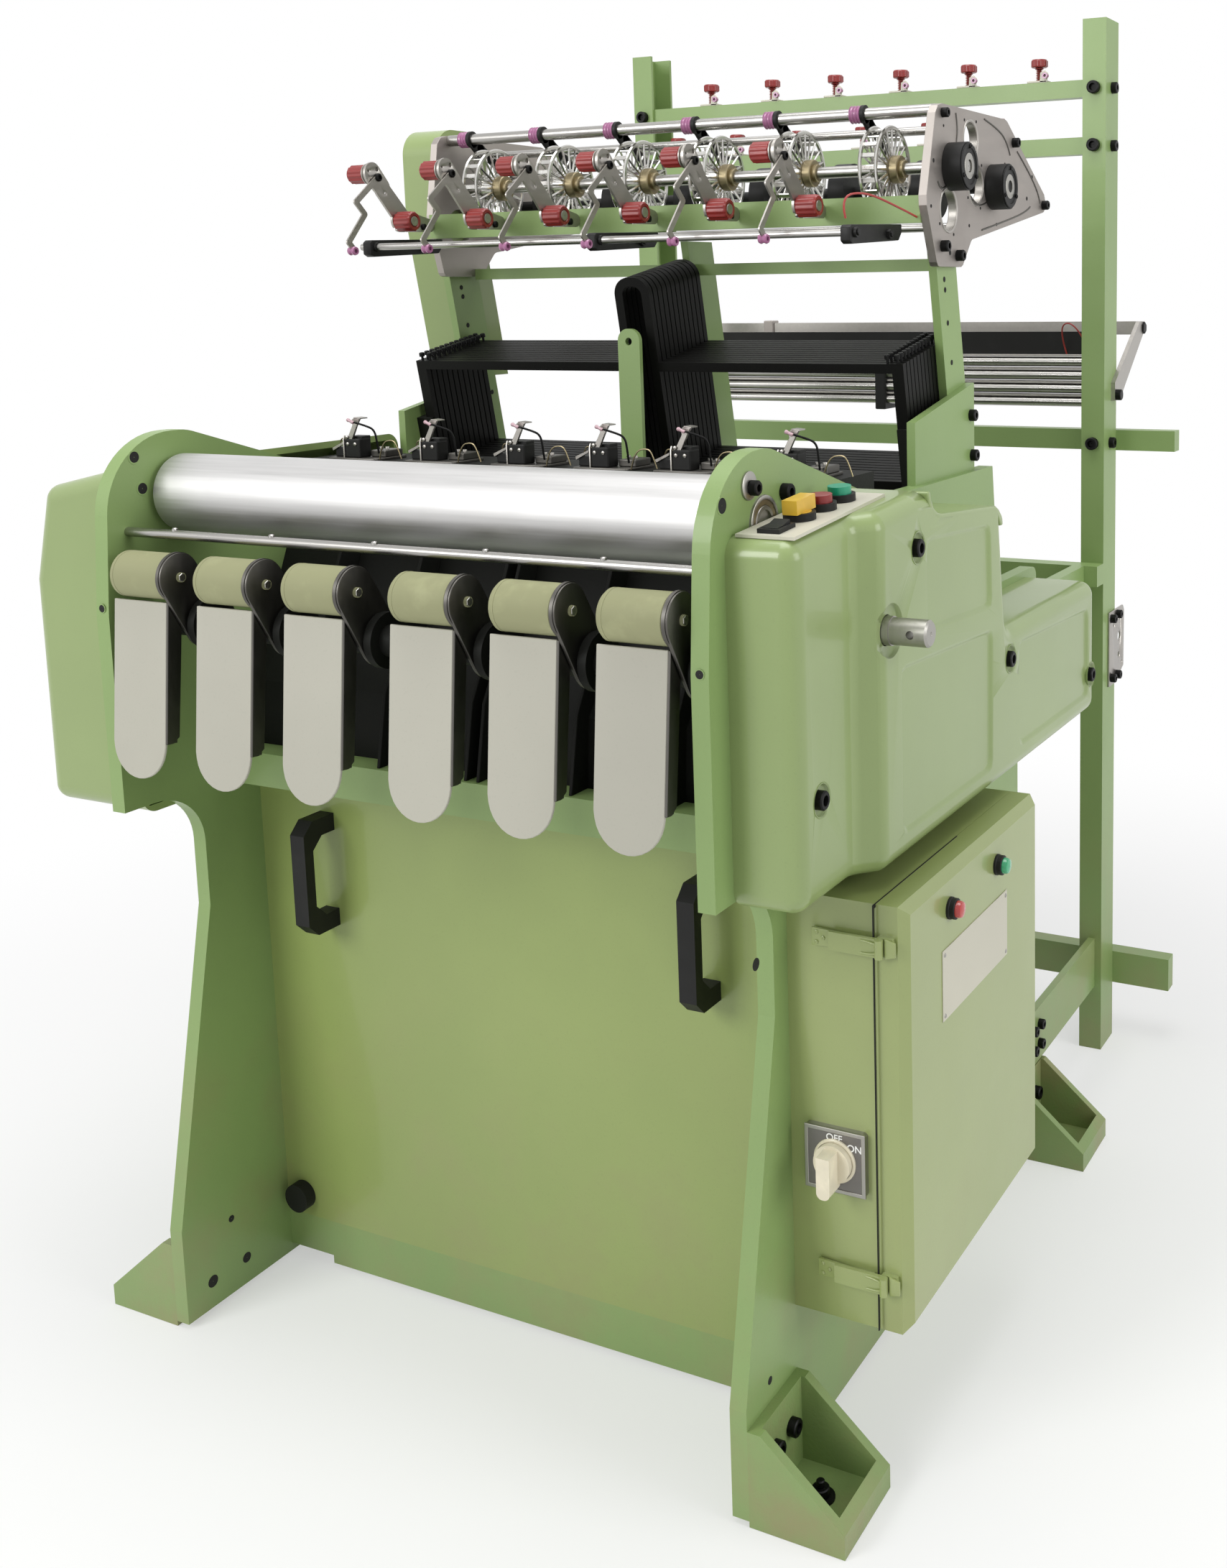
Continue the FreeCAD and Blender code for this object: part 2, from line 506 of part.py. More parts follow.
def draw(sketch, points):
    """A closed outline; a third value in a point rounds that corner."""
    count = len(points)
    corners = [rounded(points, i) for i in range(count)]
    lines = []
    for i in range(count):
        start = corners[i][2]
        end = corners[(i + 1) % count][0]
        lines.append(sketch.addGeometry(Part.LineSegment(start, end), False))
    rules = []
    ties = []
    for i in range(count):
        into = lines[i - 1]
        out = lines[i]
        mark = out
        if corners[i][1] is None:
            rules.append(Sketcher.Constraint("Coincident", into, 2, out, 1))
        else:
            centre, radius = corners[i][1]
            first = corners[i][0] - centre
            last = corners[i][2] - centre
            ends = (1, 2)
            if first.cross(last).z < 0:
                first, last = last, first
                ends = (2, 1)
            start = math.atan2(first.y, first.x)
            sweep = first.getAngle(last)
            circle = Part.Circle(centre, V(0, 0, 1), radius)
            arc = Part.ArcOfCircle(circle, start, start + sweep)
            bend = sketch.addGeometry(arc, False)
            rules.append(Sketcher.Constraint("Tangent", into, 2, bend, ends[0]))
            rules.append(Sketcher.Constraint("Tangent", bend, ends[1], out, 1))
            rules.append(Sketcher.Constraint("Radius", bend, radius))
            ties.append((len(rules) - 1, points[i][2]))
            spot = Part.Point(V(points[i][0].value, points[i][1].value, 0))
            mark = sketch.addGeometry(spot, True)
            rules.append(Sketcher.Constraint("PointOnObject", mark, 1, into))
            rules.append(Sketcher.Constraint("PointOnObject", mark, 1, out))
        rules.append(Sketcher.Constraint("DistanceX", -1, 1, mark, 1, points[i][0].value))
        ties.append((len(rules) - 1, points[i][0]))
        rules.append(Sketcher.Constraint("DistanceY", -1, 1, mark, 1, points[i][1].value))
        ties.append((len(rules) - 1, points[i][1]))
    first_rule = sketch.ConstraintCount
    sketch.addConstraint(rules)
    for index, value in ties:
        sketch.setExpression("Constraints[%d]" % (first_rule + index), value.text)


def draw_circle(sketch, across, up, radius):
    """A circle with its centre and radius tied to the sheet."""
    ring = Part.Circle(V(across.value, up.value, 0), V(0, 0, 1), radius.value)
    ring = sketch.addGeometry(ring, False)
    first_rule = sketch.ConstraintCount
    rules = []
    rules.append(Sketcher.Constraint("DistanceX", -1, 1, ring, 3, across.value))
    rules.append(Sketcher.Constraint("DistanceY", -1, 1, ring, 3, up.value))
    rules.append(Sketcher.Constraint("Radius", ring, radius.value))
    sketch.addConstraint(rules)
    for index, value in enumerate((across, up, radius)):
        sketch.setExpression("Constraints[%d]" % (first_rule + index), value.text)


def new_sketch(body, name, plane, offset):
    """A sketch on one of the body's own origin planes, moved by offset."""
    sketch = body.newObject("Sketcher::SketchObject", name)
    for feature in body.Origin.OriginFeatures:
        if feature.Role == PLANES[plane]:
            sketch.AttachmentSupport = [(feature, "")]
    sketch.MapMode = "FlatFace"
    sketch.setExpression("AttachmentOffset.Base.z", offset.text)
    return sketch


def place(item, x=zero, y=zero, z=zero, axis=None, angle=None):
    """Move an object, and turn it about an axis, by sheet values."""
    if axis is not None:
        start = angle.value if isinstance(angle, Size) else angle
        item.Placement = FreeCAD.Placement(V(0, 0, 0), Turn(axis, start))
        if isinstance(angle, Size):
            item.setExpression("Placement.Rotation.Angle", angle.text + " * 1 deg")
    item.setExpression("Placement.Base.x", x.text)
    item.setExpression("Placement.Base.y", y.text)
    item.setExpression("Placement.Base.z", z.text)
    return item


def prism(name, plane, low, high, outlines, circles=()):
    """A body padded from one or more closed outlines between low and high."""
    body = doc.addObject("PartDesign::Body", name)
    offset = low
    if plane == "xz":
        offset = -high
    sketch = new_sketch(body, name + "_sketch", plane, offset)
    for points in outlines:
        draw(sketch, points)
    for across, up, radius in circles:
        draw_circle(sketch, across, up, radius)
    pad = body.newObject("PartDesign::Pad", name + "_pad")
    pad.Profile = sketch
    pad.setExpression("Length", (high - low).text)
    return body


def turned(name, profile):
    """A body turned about X from a profile of places along it and radii."""
    body = doc.addObject("PartDesign::Body", name)
    sketch = new_sketch(body, name + "_sketch", "xy", zero)
    draw(sketch, profile)
    spin = body.newObject("PartDesign::Revolution", name + "_turn")
    spin.Profile = sketch
    spin.ReferenceAxis = (sketch, ["H_Axis"])
    spin.Angle = 360
    return body


def box(name, x0, x1, y0, y1, z0, z1):
    """A rectangular block between three pairs of places."""
    block = doc.addObject("Part::Box", name)
    block.setExpression("Length", (x1 - x0).text)
    block.setExpression("Width", (y1 - y0).text)
    block.setExpression("Height", (z1 - z0).text)
    return place(block, x0, y0, z0)


AXES = {"x": (V(0, 1, 0), 90), "y": (V(1, 0, 0), -90), "z": (V(0, 0, 1), 0)}


def rod(name, axis, x, y, z, radius, length):
    """A round bar that starts at a point and runs along X, Y or Z."""
    bar = doc.addObject("Part::Cylinder", name)
    bar.setExpression("Radius", radius.text)
    bar.setExpression("Height", length.text)
    return place(bar, x, y, z, AXES[axis][0], AXES[axis][1])


def fuse(name, items):
    """Several touching solids joined into one."""
    joined = doc.addObject("Part::MultiFuse", name)
    joined.Shapes = items
    return joined


def cut(name, base, tools):
    """A solid less one or more others."""
    tool = tools[0]
    if len(tools) > 1:
        tool = doc.addObject("Part::Compound", name + "_tools")
        tool.Links = tools
    less = doc.addObject("Part::Cut", name)
    less.Base = base
    less.Tool = tool
    return less


def group(name, items):
    """Several separate solids that belong to one piece."""
    bundle = doc.addObject("Part::Compound", name)
    bundle.Links = items
    return bundle


def node(name, item):
    """Name a finished piece."""
    item.Label = name
    if item.Label != name:
        raise RuntimeError("the name %s is already taken" % name)
    nodes.append(item)
    return item


def soften(name, base, radius, choose):
    """Round the edges that the function choose picks."""
    doc.recompute()
    picked = []
    for index, edge in enumerate(base.Shape.Edges):
        if choose(edge):
            picked.append((index + 1, radius.value, radius.value))
    smooth = doc.addObject("Part::Fillet", name)
    smooth.Base = base
    smooth.Edges = picked
    return smooth


def knob(name, axis, x, y, z, radius, length, outward=1):
    """A bar with twelve flats that starts at a point and runs along an axis."""
    bar = doc.addObject("Part::Prism", name)
    bar.Polygon = knob_sides
    bar.setExpression("Circumradius", radius.text)
    bar.setExpression("Height", length.text)
    direction = {"x": V(1, 0, 0), "y": V(0, 1, 0), "z": V(0, 0, 1)}[axis] * outward
    bar.Placement = FreeCAD.Placement(V(0, 0, 0), Turn(V(0, 0, 1), direction))
    bar.setExpression("Placement.Base.x", x.text)
    bar.setExpression("Placement.Base.y", y.text)
    bar.setExpression("Placement.Base.z", z.text)
    return bar


def screw(name, axis, x, y, z, outward):
    """A cap screw's head on a face, standing out along the axis."""
    return knob(name, axis, x, y, z, screw_head, screw_tall, outward)


screws = []

# ================================================================ side plates


def plate_outline():
    """The side plates' profile, from the front foot round to the rear one."""
    foot = plate_lift
    ridge = crown_back
    points = [
        (back(zero), foot),
        (back(zero), knee_height),
        (back(waist_depth), waist_low),
        (back(waist_depth), belly_height, waist_round),
        (back(-belly_reach), belly_height),
        (back(-belly_reach), kink_height),
        (back(-crown_front), crown_height, crown_round),
        (back(ridge), crown_height, crown_rear_round),
        (back(table_start), table_height),
        (back(table_end), table_height),
        (back(table_end + step_slope), rear_step),
        (back(plate_length), rear_step, corner_round),
        (back(plate_length), belly_height, corner_round),
        (back(plate_length - waist_depth), belly_height, waist_round),
        (back(plate_length - waist_depth), waist_low),
        (back(plate_length), knee_height),
        (back(plate_length), foot),
    ]
    return points


bearing_seat = (back(roller_back), roller_height, bearing_radius + fit_gap)
shaft_bore = (back(shaft_back), shaft_height, shaft_radius + fit_gap)

plate = prism("side_plate_right", "yz", inner, outer, [plate_outline()],
              [bearing_seat, shaft_bore])
node("side_plate_right", plate)
plate = prism("side_plate_left", "yz", -outer, -inner, [plate_outline()], [bearing_seat])
node("side_plate_left", plate)

# ================================================================ front panel
front = back(panel_back)
panel_points = [
    (-inner, front),
    (inner, front),
    (inner, front + panel_fold),
    (inner - panel_sheet, front + panel_fold),
    (inner - panel_sheet, front + panel_sheet),
    (panel_sheet - inner, front + panel_sheet),
    (panel_sheet - inner, front + panel_fold),
    (-inner, front + panel_fold),
]
node("front_panel", prism("front_panel_whole", "xy", panel_low, panel_high, [panel_points]))

bar_points = [
    (-inner, bar_low + bar_notch_rise),
    (bar_notch - inner, bar_low + bar_notch_rise),
    (bar_notch - inner, bar_low),
    (inner - bar_notch, bar_low),
    (inner - bar_notch, bar_low + bar_notch_rise),
    (inner, bar_low + bar_notch_rise),
    (inner, panel_low),
    (-inner, panel_low),
]
lower_bar = prism("lower_bar", "xz", front, front + bar_thick, [bar_points])

ledge = box("ledge", -inner, inner, back(ledge_front), front, belly_height,
            belly_height + ledge_height)
tie_half = inner - upright_thick
tie = box("tie", -tie_half, tie_half, back(tie_front), back(tie_front + tie_depth),
          tie_top - tie_height, tie_top)
low_tie = box("low_tie", -inner, inner, back(rear_tie_back), back(rear_tie_back) + tie_height,
              rear_tie_low, rear_tie_low + tie_depth)
node("cross_ties", group("cross_tie_set", [lower_bar, ledge, tie, low_tie]))

# ================================================================ weaving heads
beam_y0 = back(head_beam_front)
beam_y1 = beam_y0 + head_beam_depth
beam = box("head_beam", -inner, inner, beam_y0, beam_y1,
           head_beam_top - head_beam_thick, head_beam_top)
node("head_beam", beam)

head_wide = cell("head_wide", 44, "weaving head block's width")
head_deep = cell("head_deep", 52, "weaving head block's depth")
head_tall = cell("head_tall", 16, "weaving head block's height")
head_inset = cell("head_inset", 8, "weaving head behind the beam's front")
tower_wide = cell("tower_wide", 20, "needle tower's width")
tower_deep = cell("tower_deep", 16, "needle tower's depth")
tower_tall = cell("tower_tall", 14, "needle tower's height")
lever_thick = cell("lever_thick", 4, "needle lever's thickness")
lever_long = cell("lever_long", 44, "needle lever's length")
lever_rise = cell("lever_rise", 24, "needle lever's rise")
lever_tip = cell("lever_tip", 7, "needle lever's width")
doc.recompute()
heads = []
for i in range(6):
    side = -1 if i < 3 else 1
    steps = (2, 1, 0, 0, 1, 2)[i]
    middle = side * (outlet_middle / 2 + steps * tape_pitch)
    y0 = beam_y0 + head_inset
    block = box("head_block_%d" % i, middle - head_wide / 2, middle + head_wide / 2,
                y0, y0 + head_deep, head_beam_top, head_beam_top + head_tall)
    tower_z = head_beam_top + head_tall
    tower = box("head_tower_%d" % i, middle - tower_wide / 2, middle + tower_wide / 2,
                y0, y0 + tower_deep, tower_z, tower_z + tower_tall)
    lever = prism("head_lever_%d" % i, "yz", middle - lever_thick / 2,
                  middle + lever_thick / 2,
                  [[(y0, tower_z + tower_tall), (y0 + lever_tip, tower_z + tower_tall),
                    (y0 + lever_long, tower_z + tower_tall + lever_rise),
                    (y0 + lever_long, tower_z + tower_tall + lever_rise + lever_tip),
                    (y0, tower_z + tower_tall + lever_tip)]])
    heads.append(fuse("head_%d" % i, [block, tower, lever]))
node("weaving_heads", group("weaving_heads_whole", heads))

# ================================================================ feet
feet = []
for side in (-1, 1):
    for start in (zero, plate_length - foot_long):
        tag = "%s_%s" % ("left" if side < 0 else "right", "front" if start is zero else "rear")
        y0 = back(start)
        y1 = y0 + foot_long
        face = side * outer
        wedge = [
            (face, zero),
            (face + side * foot_wide, zero),
            (face + side * foot_wide, foot_rim),
            (face + side * foot_ledge, foot_wall),
            (face, foot_wall),
        ]
        solid = prism("foot_block_" + tag, "xz", y0, y1, [wedge])
        x_in = face + side * foot_skin
        x_out = face + side * (foot_wide - foot_skin)
        low_x, high_x = (x_out, x_in) if side < 0 else (x_in, x_out)
        hollow = box("foot_hollow_" + tag, low_x, high_x, y0 + foot_skin, y1 - foot_skin,
                     foot_skin, foot_wall + foot_skin)
        feet.append(cut("foot_" + tag, solid, [hollow]))
        for share in (1, 2):
            screws.append(screw("foot_screw_%s_%d" % (tag, share), "x", x_in,
                                y0 + share * foot_long / 3, foot_wall * 0.62, side))
node("machine_feet", group("machine_feet_whole", feet))

bolts = []
for foot_number, (side, start) in enumerate(((-1, zero), (-1, plate_length - foot_long),
                                             (1, zero), (1, plate_length - foot_long))):
    x = side * (outer + foot_wide / 2)
    y = back(start) + foot_long / 2
    washer = rod("washer_%d" % foot_number, "z", x, y, foot_skin, washer_radius, washer_thick)
    head = doc.addObject("Part::Prism", "bolt_%d" % foot_number)
    head.Polygon = 6
    head.setExpression("Circumradius", bolt_head.text)
    head.setExpression("Height", bolt_tall.text)
    place(head, x, y, foot_skin + washer_thick)
    bolts.append(fuse("foot_bolt_%d" % foot_number, [washer, head]))

# ================================================================ handles, bumper


def handle(name, middle):
    """An angular bow handle that stands on the front panel."""
    out = front - handle_stand
    points = [
        (front, handle_low),
        (front, handle_low + handle_wide),
        (out + handle_thick + handle_slant, handle_low + handle_wide),
        (out + handle_thick, handle_low + handle_wide + handle_slant),
        (out + handle_thick, handle_high - handle_wide - handle_slant),
        (out + handle_thick + handle_slant, handle_high - handle_wide),
        (front, handle_high - handle_wide),
        (front, handle_high),
        (out + handle_slant, handle_high),
        (out, handle_high - handle_slant),
        (out, handle_low + handle_slant),
        (out + handle_slant, handle_low),
    ]
    return prism(name, "yz", middle - handle_wide / 2, middle + handle_wide / 2, [points])


node("panel_handles", group("panel_handles_whole", [handle("handle_left", -handle_place),
                                              handle("handle_right", handle_place)]))
bumper = rod("panel_bumper", "y", bumper_place, front - bumper_thick, bumper_height,
             bumper_round, bumper_thick)
node("panel_bumper", bumper)

# ================================================================ take-up roller
face = inner - roller_end
journal_end = outer - free_gap
roller_profile = [
    (-journal_end, zero),
    (-journal_end, journal_radius),
    (-face, journal_radius),
    (-face, roller_radius - roller_edge),
    (roller_edge - face, roller_radius),
    (face - roller_edge, roller_radius),
    (face, roller_radius - roller_edge),
    (face, journal_radius),
    (journal_end, journal_radius),
    (journal_end, zero),
]
roller = turned("takeup_roller", roller_profile)
place(roller, zero, back(roller_back), roller_height)
node("takeup_roller", roller)

ring_inner = journal_radius + fit_gap
bearings = []
for side in (-1, 1):
    points = [
        (side * inner, ring_inner),
        (side * inner, bearing_radius),
        (side * outer, bearing_radius),
        (side * outer, ring_inner),
    ]
    ring = turned("bearing_%s" % ("left" if side < 0 else "right"), points)
    bearings.append(place(ring, zero, back(roller_back), roller_height))
node("roller_bearings", group("roller_bearings_whole", bearings))

guide = rod("guide_rod", "x", -inner, back(rod_back), rod_height, rod_radius, plate_gap)
node("guide_rod", guide)

# ================================================================ outlets
cheek_parts = []
discs = []
chutes = []
half_chute = chute_wide / 2
tip_round = half_chute - chute_flat / 2
for i in range(6):
    side = -1 if i < 3 else 1
    steps = (2, 1, 0, 0, 1, 2)[i]
    middle = side * (outlet_middle / 2 + steps * tape_pitch)
    number = i + 1
    tongue = prism("chute_tongue_%d" % number, "xz", zero, chute_sheet, [[
        (-half_chute, -chute_long, tip_round), (half_chute, -chute_long, tip_round),
        (half_chute, zero), (-half_chute, zero)]])
    flange = box("chute_flange_%d" % number, half_chute - chute_sheet, half_chute,
                 chute_sheet, chute_fold, half_chute - chute_long, zero)
    chute = fuse("tape_chute_%d" % number, [tongue, flange])
    place(chute, middle, back(-chute_top_back), chute_top, V(1, 0, 0), -chute_lean)
    chutes.append(chute)

    rear_face = half_chute - free_gap
    front_face = rear_face - nip_long
    axle_end = half_chute + cheek_thick + free_gap
    nip = turned("outlet_roller_%d" % number, [
        (front_face, zero),
        (front_face, nip_radius - nip_edge),
        (front_face + nip_edge, nip_radius),
        (rear_face - nip_edge, nip_radius),
        (rear_face, nip_radius - nip_edge),
        (rear_face, axle_radius),
        (axle_end, axle_radius),
        (axle_end, zero),
    ])
    place(nip, middle, back(-nip_back), nip_height)
    node("outlet_roller_%d" % number, nip)

    wall0 = middle + half_chute
    cheek = prism("cheek_%d" % number, "yz", wall0, wall0 + cheek_thick, [[
        (back(-nip_back) - cheek_round / 2, nip_height + cheek_round),
        (back(-nip_back) - cheek_round, nip_height + cheek_round / 2),
        (back(-nip_back) - cheek_round, nip_height - cheek_round / 2),
        (back(outlet_shaft_back) - cheek_round, outlet_shaft_height - cheek_round / 2),
        (back(outlet_shaft_back) - cheek_round / 2, outlet_shaft_height - cheek_round),
        (back(outlet_shaft_back) + cheek_round / 2, outlet_shaft_height - cheek_round),
        (back(outlet_shaft_back) + cheek_round, outlet_shaft_height - cheek_round / 2),
        (back(outlet_shaft_back) + cheek_round, outlet_shaft_height + cheek_round / 2),
        (back(-nip_back) + cheek_round / 2, nip_height + cheek_round),
    ]], [(back(-nip_back), nip_height, axle_radius + fit_gap),
         (back(outlet_shaft_back), outlet_shaft_height, outlet_shaft_radius + fit_gap)])
    cheek_parts.append(cheek)
    disc = rod("clamp_disc_%d" % number, "x", wall0 + cheek_thick, back(outlet_shaft_back),
               outlet_shaft_height, clamp_radius, clamp_wide)
    discs.append(disc)
node("tape_chutes", group("chute_set", chutes))
node("outlet_brackets", group("cheek_set", cheek_parts))
core = rod("outlet_core", "x", -inner, back(outlet_shaft_back), outlet_shaft_height,
           outlet_shaft_radius, plate_gap)
node("outlet_shaft", fuse("outlet_shaft_whole", [core] + discs))

# ================================================================ left cover
side_x = -(outer + left_cover_wide)
left_points = [
    (-outer, left_cover_low),
    (side_x, left_cover_low),
    (side_x, left_cover_shoulder),
    (side_x + left_cover_slant, left_cover_brow),
    (-outer, left_cover_top),
]
y0 = back(left_cover_front)
left_block = prism("left_cover_block", "xz", y0, y0 + left_cover_long, [left_points])
left_wall = -outer.value


def on_left_skin(edge):
    """True for every edge that does not lie on the side plate."""
    return any(abs(v.X - left_wall) > 0.01 for v in edge.Vertexes)


left_skin = soften("left_cover_skin", left_block, cover_round, on_left_skin)
inside = [
    (-outer, left_cover_low + cover_wall),
    (side_x + cover_wall, left_cover_low + cover_wall),
    (side_x + cover_wall, left_cover_shoulder),
    (side_x + left_cover_slant + cover_wall, left_cover_brow - cover_wall),
    (-outer, left_cover_top - cover_wall),
]
left_inside = prism("left_cover_inside", "xz", y0 + cover_wall,
                    y0 + left_cover_long - cover_wall, [inside])
node("side_cover_left", cut("side_cover_left_whole", left_skin, [left_inside]))

# ================================================================ gear cover
gear_outline = [
    (back(gear_front), gear_low),
    (back(gear_front), gear_nose),
    (back(gear_rise_end), gear_top),
    (back(gear_hump_end), gear_top),
    (back(gear_hump_end + gear_tail_run), gear_tail_top),
    (back(gear_end), gear_tail_top),
    (back(gear_end), gear_low),
]
gear_plan = [
    (outer, back(gear_front)),
    (outer + gear_wide_front, back(gear_front)),
    (outer + gear_wide_front, back(gear_step)),
    (outer + gear_wide, back(gear_step + gear_step_run)),
    (outer + gear_wide, back(gear_end)),
    (outer, back(gear_end)),
]
gear_side = prism("gear_side", "yz", outer, outer + gear_wide, [gear_outline])
gear_top_view = prism("gear_top_view", "xy", gear_low, gear_top, [gear_plan])
gear_block = doc.addObject("Part::Common", "gear_block")
gear_block.Base = gear_side
gear_block.Tool = gear_top_view
right_wall = outer.value


def on_gear_skin(edge):
    """True for every edge that does not lie on the side plate."""
    return any(abs(v.X - right_wall) > 0.01 for v in edge.Vertexes)


gear_skin = soften("gear_skin", gear_block, cover_round, on_gear_skin)
gear_inside_outline = [
    (back(gear_front) + cover_wall, gear_low + cover_wall),
    (back(gear_front) + cover_wall, gear_nose - cover_wall),
    (back(gear_rise_end), gear_top - cover_wall),
    (back(gear_hump_end) - cover_wall, gear_top - cover_wall),
    (back(gear_hump_end + gear_tail_run) - cover_wall, gear_tail_top - cover_wall),
    (back(gear_end) - cover_wall, gear_tail_top - cover_wall),
    (back(gear_end) - cover_wall, gear_low + cover_wall),
]
gear_inside_plan = [
    (outer, back(gear_front) + cover_wall),
    (outer + gear_wide_front - cover_wall, back(gear_front) + cover_wall),
    (outer + gear_wide_front - cover_wall, back(gear_step) + cover_wall),
    (outer + gear_wide - cover_wall, back(gear_step + gear_step_run) + cover_wall),
    (outer + gear_wide - cover_wall, back(gear_end) - cover_wall),
    (outer, back(gear_end) - cover_wall),
]
gear_side_in = prism("gear_side_in", "yz", outer, outer + gear_wide, [gear_inside_outline])
gear_top_in = prism("gear_top_in", "xy", gear_low, gear_top, [gear_inside_plan])
gear_inside = doc.addObject("Part::Common", "gear_inside")
gear_inside.Base = gear_side_in
gear_inside.Tool = gear_top_in
gear_face = outer + gear_wide
gear_tools = [gear_inside]
gear_tools.append(rod("gear_recess", "x", gear_face - recess_depth, back(shaft_back),
                      shaft_height, recess_radius, recess_depth * 2))
gear_tools.append(rod("gear_bore", "x", gear_face - cover_wall * 2, back(shaft_back),
                      shaft_height, shaft_radius + bore_relief, cover_wall * 3))
gear_screw_rows = [
    (cell("gear_screw_a_back", 215, "top cover screw's place"),
     cell("gear_screw_a_height", 904, "top cover screw's height"), gear_wide),
    (cell("gear_screw_b_back", 470, "middle cover screw's place"),
     cell("gear_screw_b_height", 740, "middle cover screw's height"), gear_wide),
    (cell("gear_screw_c_back", 768, "rear cover screw's place"),
     cell("gear_screw_c_height", 655, "rear cover screw's height"), gear_wide),
    (cell("gear_screw_d_back", 46, "front cover screw's place"),
     cell("gear_screw_d_height", 702, "front cover screw's height"), gear_wide_front),
]
doc.recompute()
for index, (along, up, width) in enumerate(gear_screw_rows):
    floor_x = outer + width - pocket_depth
    gear_tools.append(rod("gear_pocket_%d" % index, "x", floor_x, back(along), up,
                          pocket_radius, pocket_depth * 2))
    screws.append(screw("gear_screw_%d" % index, "x", floor_x, back(along), up, 1))
node("gear_cover_right", cut("gear_cover_right_whole", gear_skin, gear_tools))

# ================================================================ drive shaft
shaft_start = inner - shaft_in
shaft_tip = gear_face + shaft_out
shaft_bar = turned("drive_shaft_bar", [
    (shaft_start, zero),
    (shaft_start, shaft_radius),
    (gear_face + shaft_edge, shaft_radius),
    (gear_face + shaft_edge, shaft_end_radius),
    (shaft_tip - shaft_edge, shaft_end_radius),
    (shaft_tip, shaft_end_radius - shaft_edge),
    (shaft_tip, shaft_edge),
    (shaft_tip - shaft_edge * 2, zero),
])
place(shaft_bar, zero, back(shaft_back), shaft_height)
shaft_hole = rod("drive_shaft_hole", "y", shaft_tip - shaft_pin_in,
                 back(shaft_back) - shaft_radius * 2, shaft_height, shaft_pin_hole,
                 shaft_radius * 4)
node("drive_shaft", cut("drive_shaft_whole", shaft_bar, [shaft_hole]))

# ================================================================ control plate
# The plate and its devices are drawn level and then laid on the cover's slope.
slope = Size(math.degrees(math.atan2(gear_top.value - gear_nose.value,
                                     gear_rise_end.value - gear_front.value)),
             "atan2(%s; %s) / 1 deg" % ((gear_top - gear_nose).text,
                                        (gear_rise_end - gear_front).text))
deck_x = outer + deck_inset
deck_mid = deck_wide / 2


def on_deck(item):
    """Lay a level piece on the cover's sloping top."""
    return place(item, deck_x, back(gear_front), gear_nose, V(1, 0, 0), slope)


deck = box("deck_plate", zero, deck_wide, deck_start, deck_start + deck_long, zero,
           deck_thick)
node("control_plate", group("control_plate_set", [deck]))
on_deck(nodes[-1])

bezels = []
for tag, spot in (("selector", selector_place), ("red", red_place), ("green", green_place)):
    ring = rod("bezel_ring_" + tag, "z", deck_mid, spot, deck_thick, bezel_radius, bezel_tall)
    bore = rod("bezel_bore_" + tag, "z", deck_mid, spot, deck_thick, bezel_bore, bezel_tall)
    bezels.append(cut("bezel_" + tag, ring, [bore]))
rocker_box = box("rocker_box", deck_mid - rocker_wide / 2, deck_mid + rocker_wide / 2,
                 rocker_place - rocker_long / 2, rocker_place + rocker_long / 2,
                 deck_thick, deck_thick + rocker_tall)
rocker_gap = box("rocker_gap", deck_mid - rocker_wide / 2 + rocker_rim,
                 deck_mid + rocker_wide / 2 - rocker_rim,
                 rocker_place - rocker_long / 2 + rocker_rim,
                 rocker_place + rocker_long / 2 - rocker_rim,
                 deck_thick, deck_thick + rocker_tall)
bezels.append(cut("bezel_rocker", rocker_box, [rocker_gap]))
node("button_bezels", group("button_bezels_whole", bezels))
on_deck(nodes[-1])

cap_radius = bezel_bore - free_gap
for tag, spot in (("red", red_place), ("green", green_place)):
    cap = rod("cap_" + tag, "z", deck_mid, spot, deck_thick + button_travel + free_gap,
              cap_radius, bezel_tall + button_tall - button_travel)
    node(tag + "_button", group(tag + "_button", [cap]))
    on_deck(nodes[-1])

plug = rod("selector_plug", "z", deck_mid, selector_place, deck_thick + free_gap, cap_radius,
           bezel_tall)
lever_z = deck_thick + bezel_tall + free_gap
grip = box("selector_grip", deck_mid - selector_wide / 2, deck_mid + selector_wide / 2,
           selector_place - selector_long / 2, selector_place + selector_long / 2,
           lever_z, lever_z + selector_tall)
node("selector_handle", fuse("selector_handle_whole", [plug, grip]))
on_deck(nodes[-1])

rocker_half = rocker_long / 2 - rocker_rim - free_gap
rocker_x0 = deck_mid - rocker_wide / 2 + rocker_rim + free_gap
rocker_x1 = deck_mid + rocker_wide / 2 - rocker_rim - free_gap
rocker_axis = deck_thick + rocker_tall
rocker = prism("rocker_lever", "yz", rocker_x0, rocker_x1, [[
    (-rocker_half, -rocker_tall / 4), (zero, -rocker_tall + free_gap),
    (rocker_half, -rocker_tall / 4), (rocker_half, rocker_tall / 2),
    (zero, rocker_tall / 4), (-rocker_half, rocker_tall / 2)]])
place(rocker, zero, rocker_place, rocker_axis, V(1, 0, 0), rocker_tilt)
node("rocker_switch", group("rocker_switch_whole", [rocker]))
on_deck(nodes[-1])

